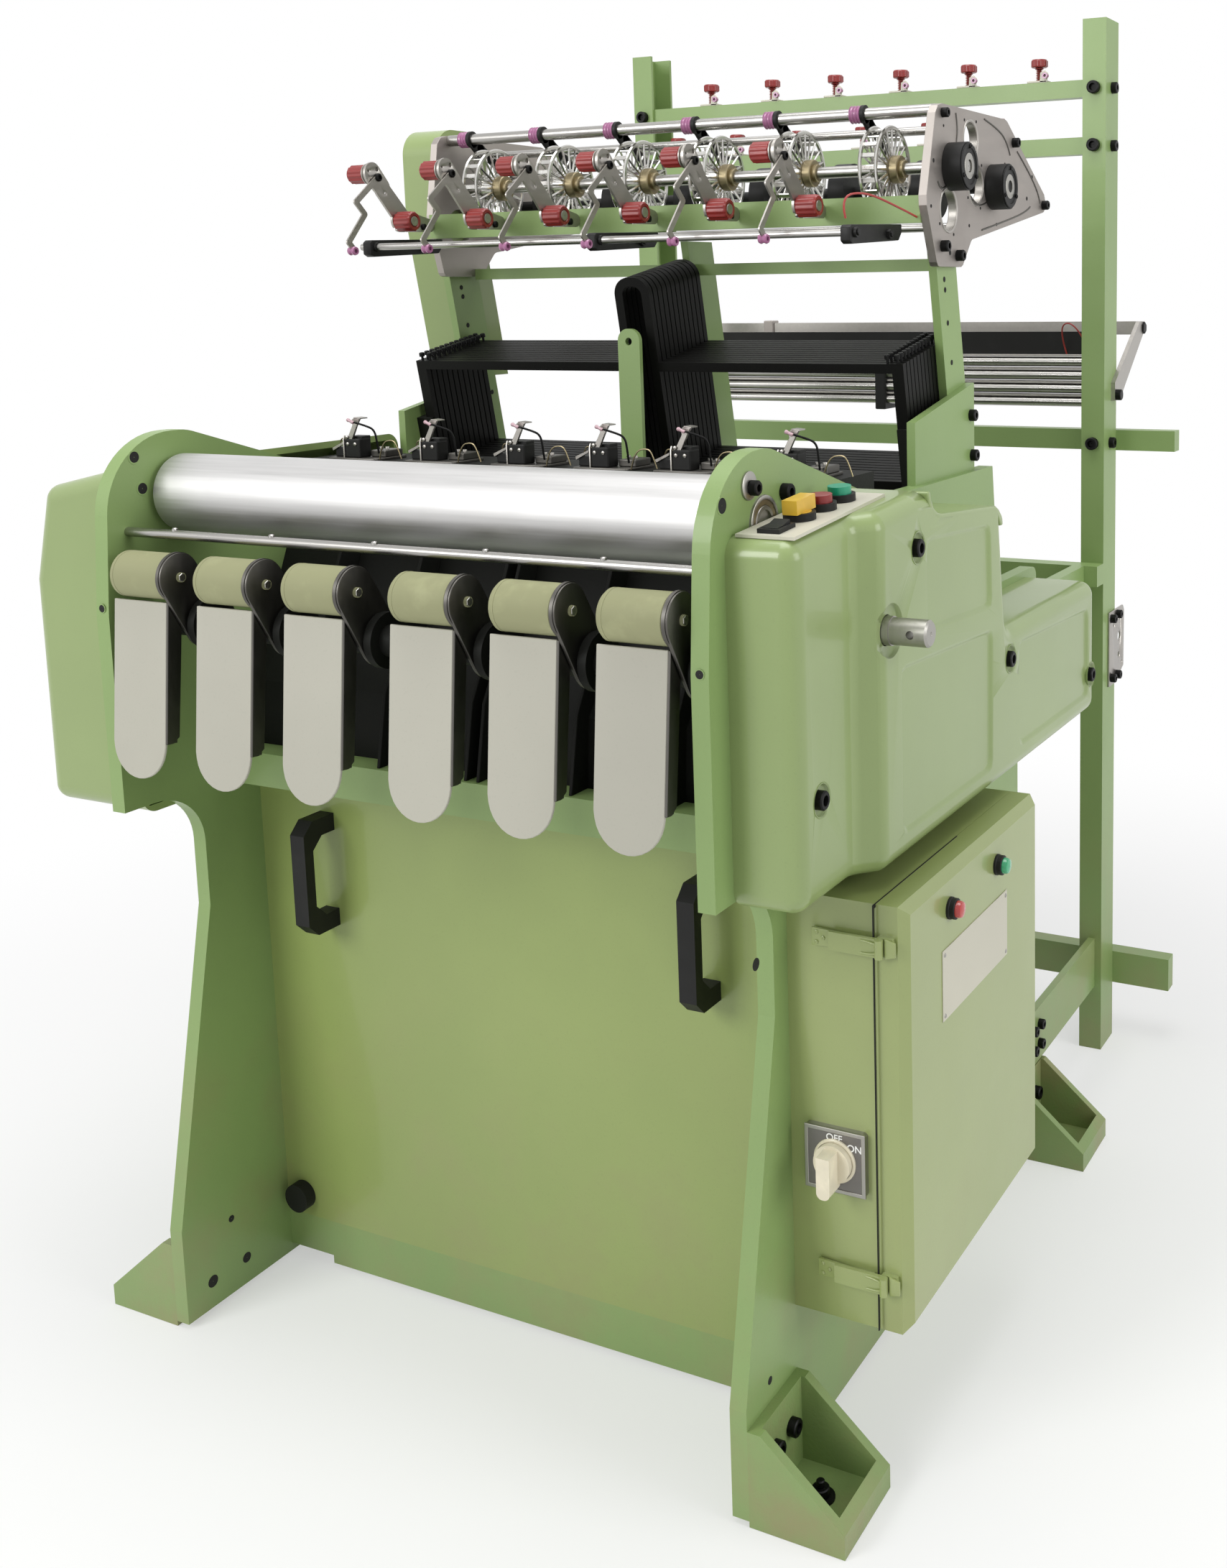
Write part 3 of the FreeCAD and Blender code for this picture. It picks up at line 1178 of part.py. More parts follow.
# ================================================================ cabinet
cab_x1 = outer + cabinet_deep
cab_y0 = back(cabinet_front)
cab_y1 = cab_y0 + cabinet_long
cab_z1 = cabinet_low + cabinet_tall
shell = box("cabinet_shell", outer, cab_x1, cab_y0, cab_y1, cabinet_low, cab_z1)
room = box("cabinet_room", outer + cabinet_sheet, cab_x1 + cabinet_sheet,
           cab_y0 + cabinet_sheet, cab_y1 - cabinet_sheet,
           cabinet_low + cabinet_sheet, cab_z1 - cabinet_sheet)
cab = cut("cabinet_case", shell, [room])
seam = cab_x1 + door_swing
latch_levels = (("upper", cab_z1 - latch_drop - latch_tall), ("lower", cabinet_low + latch_rise))
latch_blocks = []
for tag, level in latch_levels:
    latch_blocks.append(box("latch_block_" + tag, seam - latch_long + latch_base,
                            cab_x1 - latch_base, cab_y0 - latch_base, cab_y0,
                            level + latch_tall / 6, level + latch_tall * 5 / 6))
node("cabinet_body", fuse("cabinet_body_whole", [cab] + latch_blocks))

door_x1 = seam + door_deep
door_slab = box("door_slab", seam, door_x1, cab_y0, cab_y1, cabinet_low, cab_z1)
door_face = door_x1.value


def on_door_face(edge):
    """True for the four edges round the door's outer face."""
    return all(abs(v.X - door_face) < 0.01 for v in edge.Vertexes)


doc.recompute()
bevel = doc.addObject("Part::Chamfer", "door_bevelled")
bevel.Base = door_slab
bevel.Edges = [(i + 1, door_bevel.value, door_bevel.value)
               for i, e in enumerate(door_slab.Shape.Edges) if on_door_face(e)]
door_room = box("door_room", seam - cabinet_sheet, door_x1 - cabinet_sheet * 2,
                cab_y0 + door_bevel, cab_y1 - door_bevel,
                cabinet_low + door_bevel, cab_z1 - door_bevel)
door_tray = cut("door_tray", bevel, [door_room])
barrel_y = cab_y0 - latch_base - free_gap - latch_thick / 2
knuckles = []
for tag, level in latch_levels:
    knuckles.append(box("latch_knuckle_" + tag, seam + latch_pivot, seam + latch_pivot * 5,
                        cab_y0 - latch_base, cab_y0, level, level + latch_tall))
node("cabinet_door", fuse("cabinet_door_whole", [door_tray] + knuckles))

for tag, level in latch_levels:
    barrel = rod("latch_barrel_" + tag, "z", seam + latch_pivot * 2, barrel_y - latch_pivot / 2,
                 level, latch_pivot, latch_tall)
    lever = box("latch_lever_" + tag, seam - latch_long, seam + latch_pivot * 2,
                barrel_y - latch_thick / 2, barrel_y + latch_thick / 2,
                level, level + latch_tall)
    node("latch_" + tag, fuse("latch_" + tag, [barrel, lever]))

switch_x = outer + switch_place
half_switch = switch_size / 2
switch_plate = prism("main_switch_plate", "xz", cab_y0 - switch_thick, cab_y0, [[
    (switch_x - half_switch, switch_height - half_switch, switch_edge),
    (switch_x + half_switch, switch_height - half_switch, switch_edge),
    (switch_x + half_switch, switch_height + half_switch, switch_edge),
    (switch_x - half_switch, switch_height + half_switch, switch_edge)]])
node("main_switch_plate", switch_plate)
knob_y1 = cab_y0 - switch_thick - free_gap
disc = rod("knob_disc", "y", switch_x, knob_y1 - knob_base, switch_height, knob_radius, knob_base)
grip = prism("knob_grip", "xz", knob_y1 - knob_tall, knob_y1 - knob_base / 2, [[
    (switch_x - grip_wide / 2, switch_height - grip_long, grip_wide * 0.45),
    (switch_x + grip_wide / 2, switch_height - grip_long, grip_wide * 0.45),
    (switch_x + grip_wide / 2, switch_height + knob_radius * 0.8),
    (switch_x - grip_wide / 2, switch_height + knob_radius * 0.8)]])
node("main_switch_knob", fuse("main_switch_knob_whole", [disc, grip]))

lamps = []
for tag, spot in (("red", lamp_red_back), ("green", lamp_green_back)):
    ring = rod("lamp_ring_" + tag, "x", door_x1, back(spot), lamp_height, lamp_ring, lamp_ring_out)
    lens = rod("lamp_lens_" + tag, "x", door_x1, back(spot), lamp_height, lamp_radius, lamp_out)
    lamps.append(fuse("lamp_" + tag, [ring, lens]))
node("indicator_lamps", group("lamp_set", lamps))

# ================================================================ heald frames
# Drawn upright from the front frame's foot, then leaned forward together.


def in_shed(item):
    """Lean a group of upright pieces forward from the front frame's foot."""
    return place(item, zero, back(shed_back), shed_height, V(1, 0, 0), lean)


frame_sets = {"odd": [], "even": []}
for i in range(frame_count):
    which = "odd" if i % 2 == 0 else "even"
    y0 = i * frame_pitch
    y1 = y0 + frame_thick
    y0 = size(y0)
    parts = frame_sets[which]
    for side in (-1, 1):
        tag = "%d_%s" % (i, "left" if side < 0 else "right")
        ends = sorted((side * frame_half, side * (frame_half - stile_wide)),
                      key=lambda s: s.value)
        parts.append(box("stile_" + tag, ends[0], ends[1], y0, y1, zero, frame_tall))
        ends = sorted((side * (frame_half - stile_wide), side * loop_half),
                      key=lambda s: s.value)
        parts.append(box("lower_rail_" + tag, ends[0], ends[1], y0, y1, zero, rail_tall))
        parts.append(box("upper_rail_" + tag, ends[0], ends[1], y0, y1,
                         frame_tall - rail_tall, frame_tall))
    inner_loop = loop_half - loop_leg
    parts.append(prism("loop_%d" % i, "xz", y0, y1, [[
        (-loop_half, zero), (-inner_loop, zero),
        (-inner_loop, loop_tall - loop_leg, loop_round - loop_leg),
        (inner_loop, loop_tall - loop_leg, loop_round - loop_leg),
        (inner_loop, zero), (loop_half, zero),
        (loop_half, loop_tall, loop_round), (-loop_half, loop_tall, loop_round)]]))
for which in ("odd", "even"):
    node("heald_frames_" + which, group("heald_frames_" + which, frame_sets[which]))
    in_shed(nodes[-1])

tilt = math.radians(lean.value)
run_y = upright_front - shed_back
run_z = upright_foot - shed_height
guide_end = Size(run_y.value * math.cos(tilt) + run_z.value * math.sin(tilt) - free_gap.value,
                 "(%s * cos(%s * 1 deg) + %s * sin(%s * 1 deg) - %s)"
                 % (run_y.text, lean.text, run_z.text, lean.text, free_gap.text))
guides = []
for side in (-1, 1):
    web = frame_half + free_gap
    lip = frame_half - guide_reach
    low_y = -guide_lip - free_gap * 2
    points = [
        (side * inner, low_y), (side * inner, guide_end),
        (side * web, guide_end), (side * web, low_y + guide_lip),
        (side * lip, low_y + guide_lip), (side * lip, low_y),
    ]
    guides.append(prism("guide_%s" % ("left" if side < 0 else "right"), "xy",
                        guide_low, guide_high, [points]))
node("frame_guides", group("frame_guides_whole", guides))
in_shed(nodes[-1])

# ================================================================ uprights


def upright_points(foot, start):
    """A leaning upright's side view, from its foot height to the top."""
    run = (upright_top - foot)
    shift = Size(run.value * math.tan(math.radians(lean.value)),
                 "(%s * tan(%s * 1 deg))" % (run.text, lean.text))
    if foot is not upright_foot:
        drop = foot - upright_foot
        start = start - Size(drop.value * math.tan(math.radians(lean.value)),
                             "(%s * tan(%s * 1 deg))" % (drop.text, lean.text))
    return [
        (back(start), foot),
        (back(start + upright_wide), foot),
        (back(start + upright_wide) - shift, upright_top),
        (back(start) - shift, upright_top),
    ]


for side, name in ((-1, "left"), (1, "right")):
    ends = sorted((side * inner, side * (inner - upright_thick)), key=lambda s: s.value)
    post = prism("upright_post_" + name, "yz", ends[0], ends[1], [upright_points(upright_foot, upright_front)])
    ends = sorted((side * inner, side * (inner + upright_thick)), key=lambda s: s.value)
    gusset = prism("gusset_" + name, "yz", ends[0], ends[1], [[
        (back(gusset_front), table_height), (back(gusset_end), table_height),
        (back(gusset_end), gusset_rear_top), (back(gusset_front), gusset_front_top)]])
    node("upright_" + name, fuse("upright_" + name, [post, gusset]))

centre_post = prism("centre_post", "yz", -upright_thick / 2, upright_thick / 2,
                    [upright_points(tie_top, centre_front)])
arm_half = arm_wide / 2
arm_foot_z = head_beam_top - head_beam_thick / 2
arm_y0 = back(arm_back)
arm_blade = prism("arm_blade", "xz", arm_y0, arm_y0 + arm_thick, [[
    (-arm_half, arm_foot_z), (arm_half, arm_foot_z),
    (arm_half, arm_top, arm_half * 0.96), (-arm_half, arm_top, arm_half * 0.96)]],
    [(zero, arm_top - arm_half, arm_hole)])
arm_foot = box("arm_foot", -arm_half, arm_half, beam_y1, arm_y0, arm_foot_z,
               arm_foot_z + arm_thick)
node("centre_supports", group("centre_set", [centre_post,
                                             fuse("centre_arm", [arm_blade, arm_foot])]))

stay = box("upper_stay", upright_thick + side_thick - inner, inner - upright_thick, back(stay_back),
           back(stay_back + stay_deep), stay_low, stay_low + stay_tall)
stay_slot = box("stay_slot", -upright_thick / 2, upright_thick / 2, back(stay_back),
                back(stay_back + stay_deep), stay_low, stay_low + stay_tall)
feeder_beam = box("feeder_beam", upright_thick + side_thick - inner, inner, back(beam_back), back(beam_back + beam_deep),
                  beam_low, beam_low + beam_tall)
node("upper_crossbars", group("upper_bar_set", [cut("stay_halves", stay, [stay_slot]),
                                                feeder_beam]))

# ================================================================ feeder plates


def side_points(front):
    """A feeder side plate's profile behind its front edge."""
    return [
        (back(front) + side_round * 2, side_foot, side_round / 2),
        (back(side_foot_end), side_foot, side_round / 2),
        (back(side_knee_back), side_knee, side_round / 2),
        (back(side_tail), side_tail_low, side_round / 2),
        (back(side_tail), side_tail_high, side_round / 2),
        (back(side_top_end), side_top, side_round),
        (back(front) + side_round * 2, side_top, side_round),
        (back(front), side_nose, side_round),
    ]


side_bores = [
    (back(feed_back), feed_height, feed_shaft + fit_gap),
    (back(press_back), press_height, feed_shaft + fit_gap),
]
windows = [
    (back(window_a_back), window_a_height, window_radius),
    (back(window_b_back), window_b_height, window_radius * 0.8),
]
plate_in = inner - upright_thick
for side, name in ((-1, "left"), (1, "right")):
    start = side_left_front if side < 0 else side_front
    wall = -plate_in if side < 0 else inner
    item = prism("feeder_plate_" + name, "yz", wall, wall + side_thick, [side_points(start)],
                 side_bores + windows)
    node("feeder_plate_" + name, item)

hub_x = inner + side_thick
hubs = []
for tag, along, up in (("front", feed_back, feed_height), ("rear", press_back, press_height)):
    ring = rod("hub_ring_" + tag, "x", hub_x, back(along), up, hub_radius, hub_out)
    bore = rod("hub_bore_" + tag, "x", hub_x, back(along), up, feed_shaft + fit_gap, hub_out)
    hubs.append(cut("hub_" + tag, ring, [bore]))
node("feeder_hubs", group("feeder_hubs_whole", hubs))

# ================================================================ feeder shafts
shaft_left = free_gap - plate_in
shaft_right = inner + side_thick + hub_out
first_wheel = -wheel_pitch * 5 / 2


def feeder_shaft(name, wheel_profile, along, up):
    """A shaft with six like wheels along it."""
    body = doc.addObject("PartDesign::Body", name)
    sketch = new_sketch(body, name + "_core", "xy", zero)
    draw(sketch, [(shaft_left, zero), (shaft_left, feed_shaft),
                  (shaft_right, feed_shaft), (shaft_right, zero)])
    core_turn = body.newObject("PartDesign::Revolution", name + "_core_turn")
    core_turn.Profile = sketch
    core_turn.ReferenceAxis = (sketch, ["H_Axis"])
    core_turn.Angle = 360
    wheel = new_sketch(body, name + "_wheel", "xy", zero)
    draw(wheel, wheel_profile)
    wheel_turn = body.newObject("PartDesign::Revolution", name + "_wheel_turn")
    wheel_turn.Profile = wheel
    wheel_turn.ReferenceAxis = (wheel, ["H_Axis"])
    wheel_turn.Angle = 360
    row = body.newObject("PartDesign::LinearPattern", name + "_row")
    row.Originals = [wheel_turn]
    row.Direction = (wheel, ["H_Axis"])
    row.setExpression("Length", (wheel_pitch * 5).text)
    row.Occurrences = 6
    body.Tip = row
    place(body, zero, back(along), up)
    return body


left_face = first_wheel - wheel_half
right_face = first_wheel + wheel_half
wheel_points = [
    (left_face - hub_proud, feed_shaft / 2),
    (left_face - hub_proud, wheel_hub),
    (left_face, wheel_hub),
    (left_face, wheel_radius),
    (right_face, wheel_radius),
    (right_face, feed_shaft / 2),
]
feed = feeder_shaft("feed_wheel_shaft", wheel_points, feed_back, feed_height)
half_gap = wheel_spoke / 2
half_turn = math.pi / wheel_windows
window_sketch = new_sketch(feed, "wheel_window", "yz", zero)


def window_corner(radius, side):
    """A corner of a wheel window, half a spoke away from the spoke's middle."""
    tan_text = "tan(%s * 1 deg)" % repr(180.0 / wheel_windows)
    cos_text = "cos(%s * 1 deg)" % repr(180.0 / wheel_windows)
    flat = Size(radius.value * math.tan(half_turn), "(%s * %s)" % (radius.text, tan_text))
    gap = Size(half_gap.value / math.cos(half_turn), "(%s / %s)" % (half_gap.text, cos_text))
    return (side * (flat - gap), radius)


draw(window_sketch, [window_corner(wheel_window_low, -1), window_corner(wheel_window_low, 1),
                     window_corner(wheel_window_high, 1), window_corner(wheel_window_high, -1)])
window_cut = feed.newObject("PartDesign::Pocket", "wheel_window_cut")
window_cut.Profile = window_sketch
window_cut.Type = 1
window_cut.Midplane = True
spokes = feed.newObject("PartDesign::PolarPattern", "wheel_spokes")
spokes.Originals = [window_cut]
for feature in feed.Origin.OriginFeatures:
    if feature.Role == "X_Axis":
        spokes.Axis = (feature, [""])
spokes.Angle = 360
spokes.Occurrences = wheel_windows
feed.Tip = spokes
node("feed_wheel_shaft", feed)

half_press = press_wide / 2
press_points = [
    (first_wheel - half_press, feed_shaft / 2),
    (first_wheel - half_press, press_radius),
    (first_wheel + half_press, press_radius),
    (first_wheel + half_press, feed_shaft / 2),
]
node("second_feed_shaft", feeder_shaft("second_feed_shaft", press_points, press_back, press_height))

rods = []
for tag, along, up, radius in (("top", top_rod_back, top_rod_height, top_rod_radius),
                               ("middle", mid_rod_back, mid_rod_height, mid_rod_radius),
                               ("rear", rear_rod_back, rear_rod_height, mid_rod_radius),
                               ("low", low_rod_back, low_rod_height, mid_rod_radius)):
    rods.append(rod("rod_" + tag, "x", side_thick - plate_in, back(along), up, radius,
                    inner + plate_in - side_thick))
node("feeder_rods", group("feeder_rods_whole", rods))

# ================================================================ stop motion
blocks = []
for tag, middle in (("left", -block_place), ("centre", zero), ("right", block_place)):
    block = box("stop_block_" + tag, middle - block_wide / 2, middle + block_wide / 2,
                back(stop_rod_back) - block_lap, back(beam_back),
                beam_low + block_lift - block_tall, beam_low + block_lift)
    hole = rod("stop_hole_" + tag, "x", middle - block_wide, back(stop_rod_back),
               stop_rod_height, stop_rod_radius, block_wide * 2)
    blocks.append(cut("stop_arm_" + tag, block, [hole]))
stop_rod = rod("stop_rod", "x", -stop_rod_half, back(stop_rod_back), stop_rod_height,
               stop_rod_radius, stop_rod_half * 2)
node("stop_motion_rail", group("stop_motion_set", blocks + [stop_rod]))

arms = []
dials = []
arm_y = back(beam_back)
knee_y = arm_y - arm_knee_out
knee_z = beam_low + arm_knee_up
head_y = arm_y - arm_head_out
head_z = beam_low + arm_head_up
for i in range(6):
    left = arm_first + i * wheel_pitch
    right = left + arm_sheet
    arms.append(prism("tension_arm_%d" % i, "yz", left, right, [[
        (arm_y - arm_tab, beam_low + arm_lift), (arm_y, beam_low + arm_lift),
        (arm_y, knee_z), (knee_y + arm_half_wide, knee_z + arm_half_wide * 2),
        (head_y + arm_half_wide, head_z + arm_half_wide),
        (head_y - arm_half_wide, head_z + arm_half_wide),
        (head_y - arm_half_wide, head_z - arm_half_wide),
        (knee_y - arm_half_wide, knee_z + arm_half_wide),
        (knee_y - arm_half_wide, knee_z - arm_half_wide)]]))
    dials.append(knob("tension_dial_low_%d" % i, "x", right, knee_y, knee_z, dial_radius,
                      dial_long, 1))
    dials.append(knob("tension_disc_%d" % i, "x", left, head_y, head_z, disc_radius,
                      disc_thick, -1))
    dials.append(knob("tension_dial_high_%d" % i, "x", left - disc_thick, head_y, head_z,
                      dial_radius, dial_long, -1))
node("tension_arms", group("tension_arms_whole", arms))
node("tension_dials", group("tension_dials_whole", dials))

# ================================================================ belt guard
def leaning(up):
    """Y of the uprights' front edge at a height."""
    rise = up - upright_foot
    text = "(%s * tan(%s * 1 deg))" % (rise.text, lean.text)
    return back(upright_front) - Size(rise.value * math.tan(math.radians(lean.value)), text)


def guard_part(name, left, right, foot):
    """One box of the belt guard, with its round head."""
    head = leaning(belt_chin)
    return prism(name, "yz", left, right, [[
        (leaning(foot), foot), (leaning(foot) + belt_deep, foot),
        (head + belt_deep, belt_chin),
        (head + belt_deep, belt_top, belt_round),
        (head, belt_top, belt_round),
        (head, belt_chin),
    ]])


guard = fuse("belt_guard", [
    guard_part("guard_column", -(inner + belt_out), -inner, belt_foot),
    guard_part("guard_head", -inner, upright_thick - inner, upright_top),
])
node("belt_guard", guard)

# ================================================================ creel
post_y0 = back(post_front)
post_y1 = post_y0 + post_deep
post_x1 = post_place + post_wide
creel = []
for side in (-1, 1):
    tag = "left" if side < 0 else "right"
    points = [
        (side * post_x1, post_y0), (side * post_place, post_y0),
        (side * post_place, post_y0 + post_sheet),
        (side * (post_x1 - post_sheet), post_y0 + post_sheet),
        (side * (post_x1 - post_sheet), post_y1 - post_sheet),
        (side * post_place, post_y1 - post_sheet),
        (side * post_place, post_y1), (side * post_x1, post_y1),
    ]
    creel.append(prism("creel_post_" + tag, "xy", zero, post_tall, [points]))
node("creel_posts", group("creel_posts_whole", creel))

rail_half = post_x1 - post_sheet
rail_y0 = post_y0 + post_sheet
rails = [
    box("rail_upper", -rail_half, rail_half, rail_y0, rail_y0 + rail_deep,
        rail_high_low, rail_high_low + rail_thick),
    box("rail_second", -rail_half, rail_half, rail_y0, rail_y0 + rail_deep,
        rail_mid_low, rail_mid_low + rail_thick),
    box("beam_rear", -rear_beam_half, rear_beam_half, post_y1, post_y1 + rear_beam_deep,
        rear_beam_low, rear_beam_low + rear_beam_tall),
    box("beam_floor", -rear_beam_half, rear_beam_half, post_y1, post_y1 + rear_beam_deep,
        floor_beam_low, floor_beam_low + floor_beam_tall),
]
runners = []
for side in (-1, 1):
    tag = "left" if side < 0 else "right"
    ends = sorted((side * outer, side * (outer + runner_thick)), key=lambda s: s.value)
    runners.append(box("runner_" + tag, ends[0], ends[1], back(runner_front), post_y0,
                       foot_wall + runner_rise, foot_wall + runner_rise + runner_tall))
    ends = sorted((side * inner, side * outer), key=lambda s: s.value)
    runners.append(box("back_stay_" + tag, ends[0], ends[1], back(plate_length),
                       post_y0 - back_stay_deep, back_stay_low, back_stay_low + back_stay_tall))
runners.append(box("back_stay_cross", -post_x1, post_x1, post_y0 - back_stay_deep, post_y0,
                   back_stay_low, back_stay_low + back_stay_tall))
node("creel_rails", group("creel_rail_set", rails + runners))

guides = []
for row, first, level in (("upper", guide_first, rail_high_low + rail_thick),
                          ("second", guide_second, rail_mid_low + rail_thick)):
    for i in range(6):
        x = first + i * guide_pitch
        y = rail_y0 + rail_deep / 2
        base = box("yarn_base_%s_%d" % (row, i), x - guide_base / 2, x + guide_base / 2,
                   rail_y0, rail_y0 + rail_deep, level, level + guide_base_thick)
        stem = knob("yarn_stem_%s_%d" % (row, i), "z", x, y, level + guide_base_thick,
                    guide_stem, guide_stem_tall)
        top = knob("yarn_knob_%s_%d" % (row, i), "z", x, y,
                   level + guide_base_thick + guide_stem_tall, guide_knob, guide_knob_tall)
        guides.append(fuse("yarn_guide_%s_%d" % (row, i), [base, stem, top]))
node("yarn_tensioners", group("yarn_tensioners_whole", guides))

# ================================================================ drop wires
drop_y0 = post_y1 - post_sheet
drop_y1 = drop_y0 + drop_deep
drop_parts = []
for side in (-1, 1):
    tag = "left" if side < 0 else "right"
    ends = sorted((side * post_place, side * (post_place - drop_thick)), key=lambda s: s.value)
    drop_parts.append(box("drop_bracket_" + tag, ends[0], ends[1], drop_y0, drop_y1,
                          drop_low, drop_low + drop_tall))
tube_half = post_place - drop_thick
tubes = []
for row in range(2):
    for i in range(4):
        tubes.append(rod("drop_tube_%d_%d" % (row, i), "x", -tube_half,
                         drop_y1 - drop_tube_pitch * (row + 1) + drop_tube_pitch / 3,
                         drop_low + drop_tube_pitch * (i + 1), drop_tube, tube_half * 2))
node("drop_wire_unit", group("drop_wire_set", drop_parts + tubes))
drop_arms = []
for side in (-1, 1):
    tag = "left" if side < 0 else "right"
    ends = sorted((side * post_x1, side * (post_x1 + drop_arm_thick)), key=lambda s: s.value)
    top_z = drop_bar_low + drop_bar_tall
    bar_y = back(drop_bar_back)
    drop_arms.append(prism("drop_arm_" + tag, "yz", ends[0], ends[1], [[
        (post_y1 - drop_arm_wide, drop_arm_low), (post_y1, drop_arm_low),
        (bar_y + drop_bar_deep, top_z - drop_arm_wide / 2),
        (bar_y + drop_bar_deep, top_z), (bar_y - drop_bar_deep, top_z),
        (post_y1 - drop_arm_wide, drop_arm_low + drop_arm_wide)]]))
drop_bar = box("drop_bar", -post_x1, post_x1, back(drop_bar_back),
               back(drop_bar_back + drop_bar_deep), drop_bar_low, drop_bar_low + drop_bar_tall)
node("drop_wire_bar", group("drop_bar_set", drop_arms + [drop_bar]))

# ================================================================ screws
for side in (-1, 1):
    tag = "left" if side < 0 else "right"
    for index, level in enumerate((rail_high_low + rail_thick / 2, rail_mid_low + rail_thick / 2,
                                   rear_beam_low + rear_beam_tall / 2)):
        screws.append(screw("post_screw_%s_%d" % (tag, index), "y",
                            side * (post_place + post_wide / 2), post_y0, level, -1))
node("machine_screws", group("screw_set", screws + bolts))

# ================================================================ build, check, write
doc.recompute()
faults = []
for item in doc.Objects:
    if "Invalid" in item.State or "Error" in item.State:
        faults.append("%s is in state %s" % (item.Label, item.State))
for item in nodes:
    shape = item.Shape
    if shape.isNull() or not shape.isValid() or not shape.Solids:
        faults.append("%s has no valid solid" % item.Label)
if len(nodes) != len({item.Label for item in nodes}):
    faults.append("two pieces share a name")
if faults:
    raise RuntimeError("; ".join(faults))
os.makedirs("parts", exist_ok=True)
for item in nodes:
    item.Shape.exportStep(os.path.join("parts", item.Label + ".step"))
print("%d pieces written" % len(nodes))
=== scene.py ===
"""Six-tape needle loom: finishes, fine pieces, light and camera."""
import math
import bpy
from mathutils import Matrix, Vector


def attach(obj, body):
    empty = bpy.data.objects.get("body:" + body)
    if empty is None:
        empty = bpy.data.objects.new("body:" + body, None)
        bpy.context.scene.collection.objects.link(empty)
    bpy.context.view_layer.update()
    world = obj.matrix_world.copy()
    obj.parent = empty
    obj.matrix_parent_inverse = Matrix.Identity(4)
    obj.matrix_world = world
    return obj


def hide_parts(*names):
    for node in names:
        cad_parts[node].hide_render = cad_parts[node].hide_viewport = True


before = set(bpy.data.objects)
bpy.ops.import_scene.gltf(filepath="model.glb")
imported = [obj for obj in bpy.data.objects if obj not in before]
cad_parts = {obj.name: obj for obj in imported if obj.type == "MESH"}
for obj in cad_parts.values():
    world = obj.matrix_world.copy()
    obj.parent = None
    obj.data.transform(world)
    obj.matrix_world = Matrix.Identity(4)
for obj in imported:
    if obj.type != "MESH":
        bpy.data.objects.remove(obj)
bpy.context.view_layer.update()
MM = 0.001
FRONT = -598                # front of the side plates' feet, in mm
LEAN = math.radians(11)     # the heald frames and uprights lean back
TAPES = 6
WHEEL_STEP = 112            # from one feed wheel to the next
CORE = 0.4                  # radius left open on the axis of a spun solid
INNER, OUTER = 352, 370     # faces of the side plates from the middle
FEEDER_FACE = 362           # outer face of the right feeder plate


# ---------------- workshop
def at(x, y, z):
    """A place in metres; y counts back from the front of the side plates' feet."""
    return Vector((x, y + FRONT, z)) * MM


def unit(axis):
    return Vector([float(axis == each) for each in "xyz"])


def put_down():
    if bpy.context.mode != "OBJECT":
        bpy.ops.object.mode_set(mode="OBJECT")
    bpy.ops.object.select_all(action="DESELECT")


def pick_up(piece):
    put_down()
    piece.select_set(True)
    bpy.context.view_layer.objects.active = piece


def edit():
    """Edit mode with everything picked."""
    bpy.ops.object.mode_set(mode="EDIT")
    bpy.ops.mesh.select_all(action="SELECT")


def added(name, data):
    """A new object in the scene, from a curve, a lamp or a camera."""
    piece = bpy.data.objects.new(name, data)
    bpy.context.scene.collection.objects.link(piece)
    return piece


def called(piece, name):
    piece.name = name
    piece.data.name = name
    return piece


def settle(piece, name):
    """The piece's place goes into its mesh, and it gets its name."""
    pick_up(piece)
    bpy.ops.object.transform_apply(location=True, rotation=True, scale=True)
    return called(piece, name)


def skin(piece, name):
    """Every face turned outwards, then out of edit mode and settled."""
    bpy.ops.mesh.select_all(action="SELECT")
    bpy.ops.mesh.normals_make_consistent(inside=False)
    bpy.ops.object.mode_set(mode="OBJECT")
    return settle(piece, name)


def modify(piece, kind, **settings):
    """One modifier, applied."""
    change = piece.modifiers.new("change", kind)
    for key, value in settings.items():
        setattr(change, key, value)
    pick_up(piece)
    bpy.ops.object.modifier_apply(modifier="change")
    return piece


def ease(piece, width, steps=2, angle=30):
    """Every edge sharper than the angle gets a bevel."""
    return modify(piece, "BEVEL", width=width * MM, segments=steps, limit_method="ANGLE",
        angle_limit=math.radians(angle))


def round_off(piece, angle=35):
    pick_up(piece)
    bpy.ops.object.shade_smooth_by_angle(angle=math.radians(angle))
    return piece


def even_shading(piece):
    """Large faces set the normals, so that flats stay flat."""
    return modify(piece, "WEIGHTED_NORMAL", weight=100, keep_sharp=True)


def block(name, low, high, edge=0.0, steps=2):
    """A block between two corners with eased edges."""
    low, high = at(*low), at(*high)
    put_down()
    bpy.ops.mesh.primitive_cube_add(size=1, location=(low + high) / 2)
    piece = bpy.context.object
    piece.scale = high - low
    settle(piece, name)
    return ease(piece, edge, steps) if edge else piece


def bar(name, axis, start, radius, length, sides=32):
    """A round bar from a place along an axis."""
    way = unit(axis)
    put_down()
    bpy.ops.mesh.primitive_cylinder_add(vertices=sides, radius=radius * MM, depth=length * MM,
        location=at(*start) + way * length * MM / 2, rotation=unit("z").rotation_difference(way).to_euler())
    return round_off(settle(bpy.context.object, name))


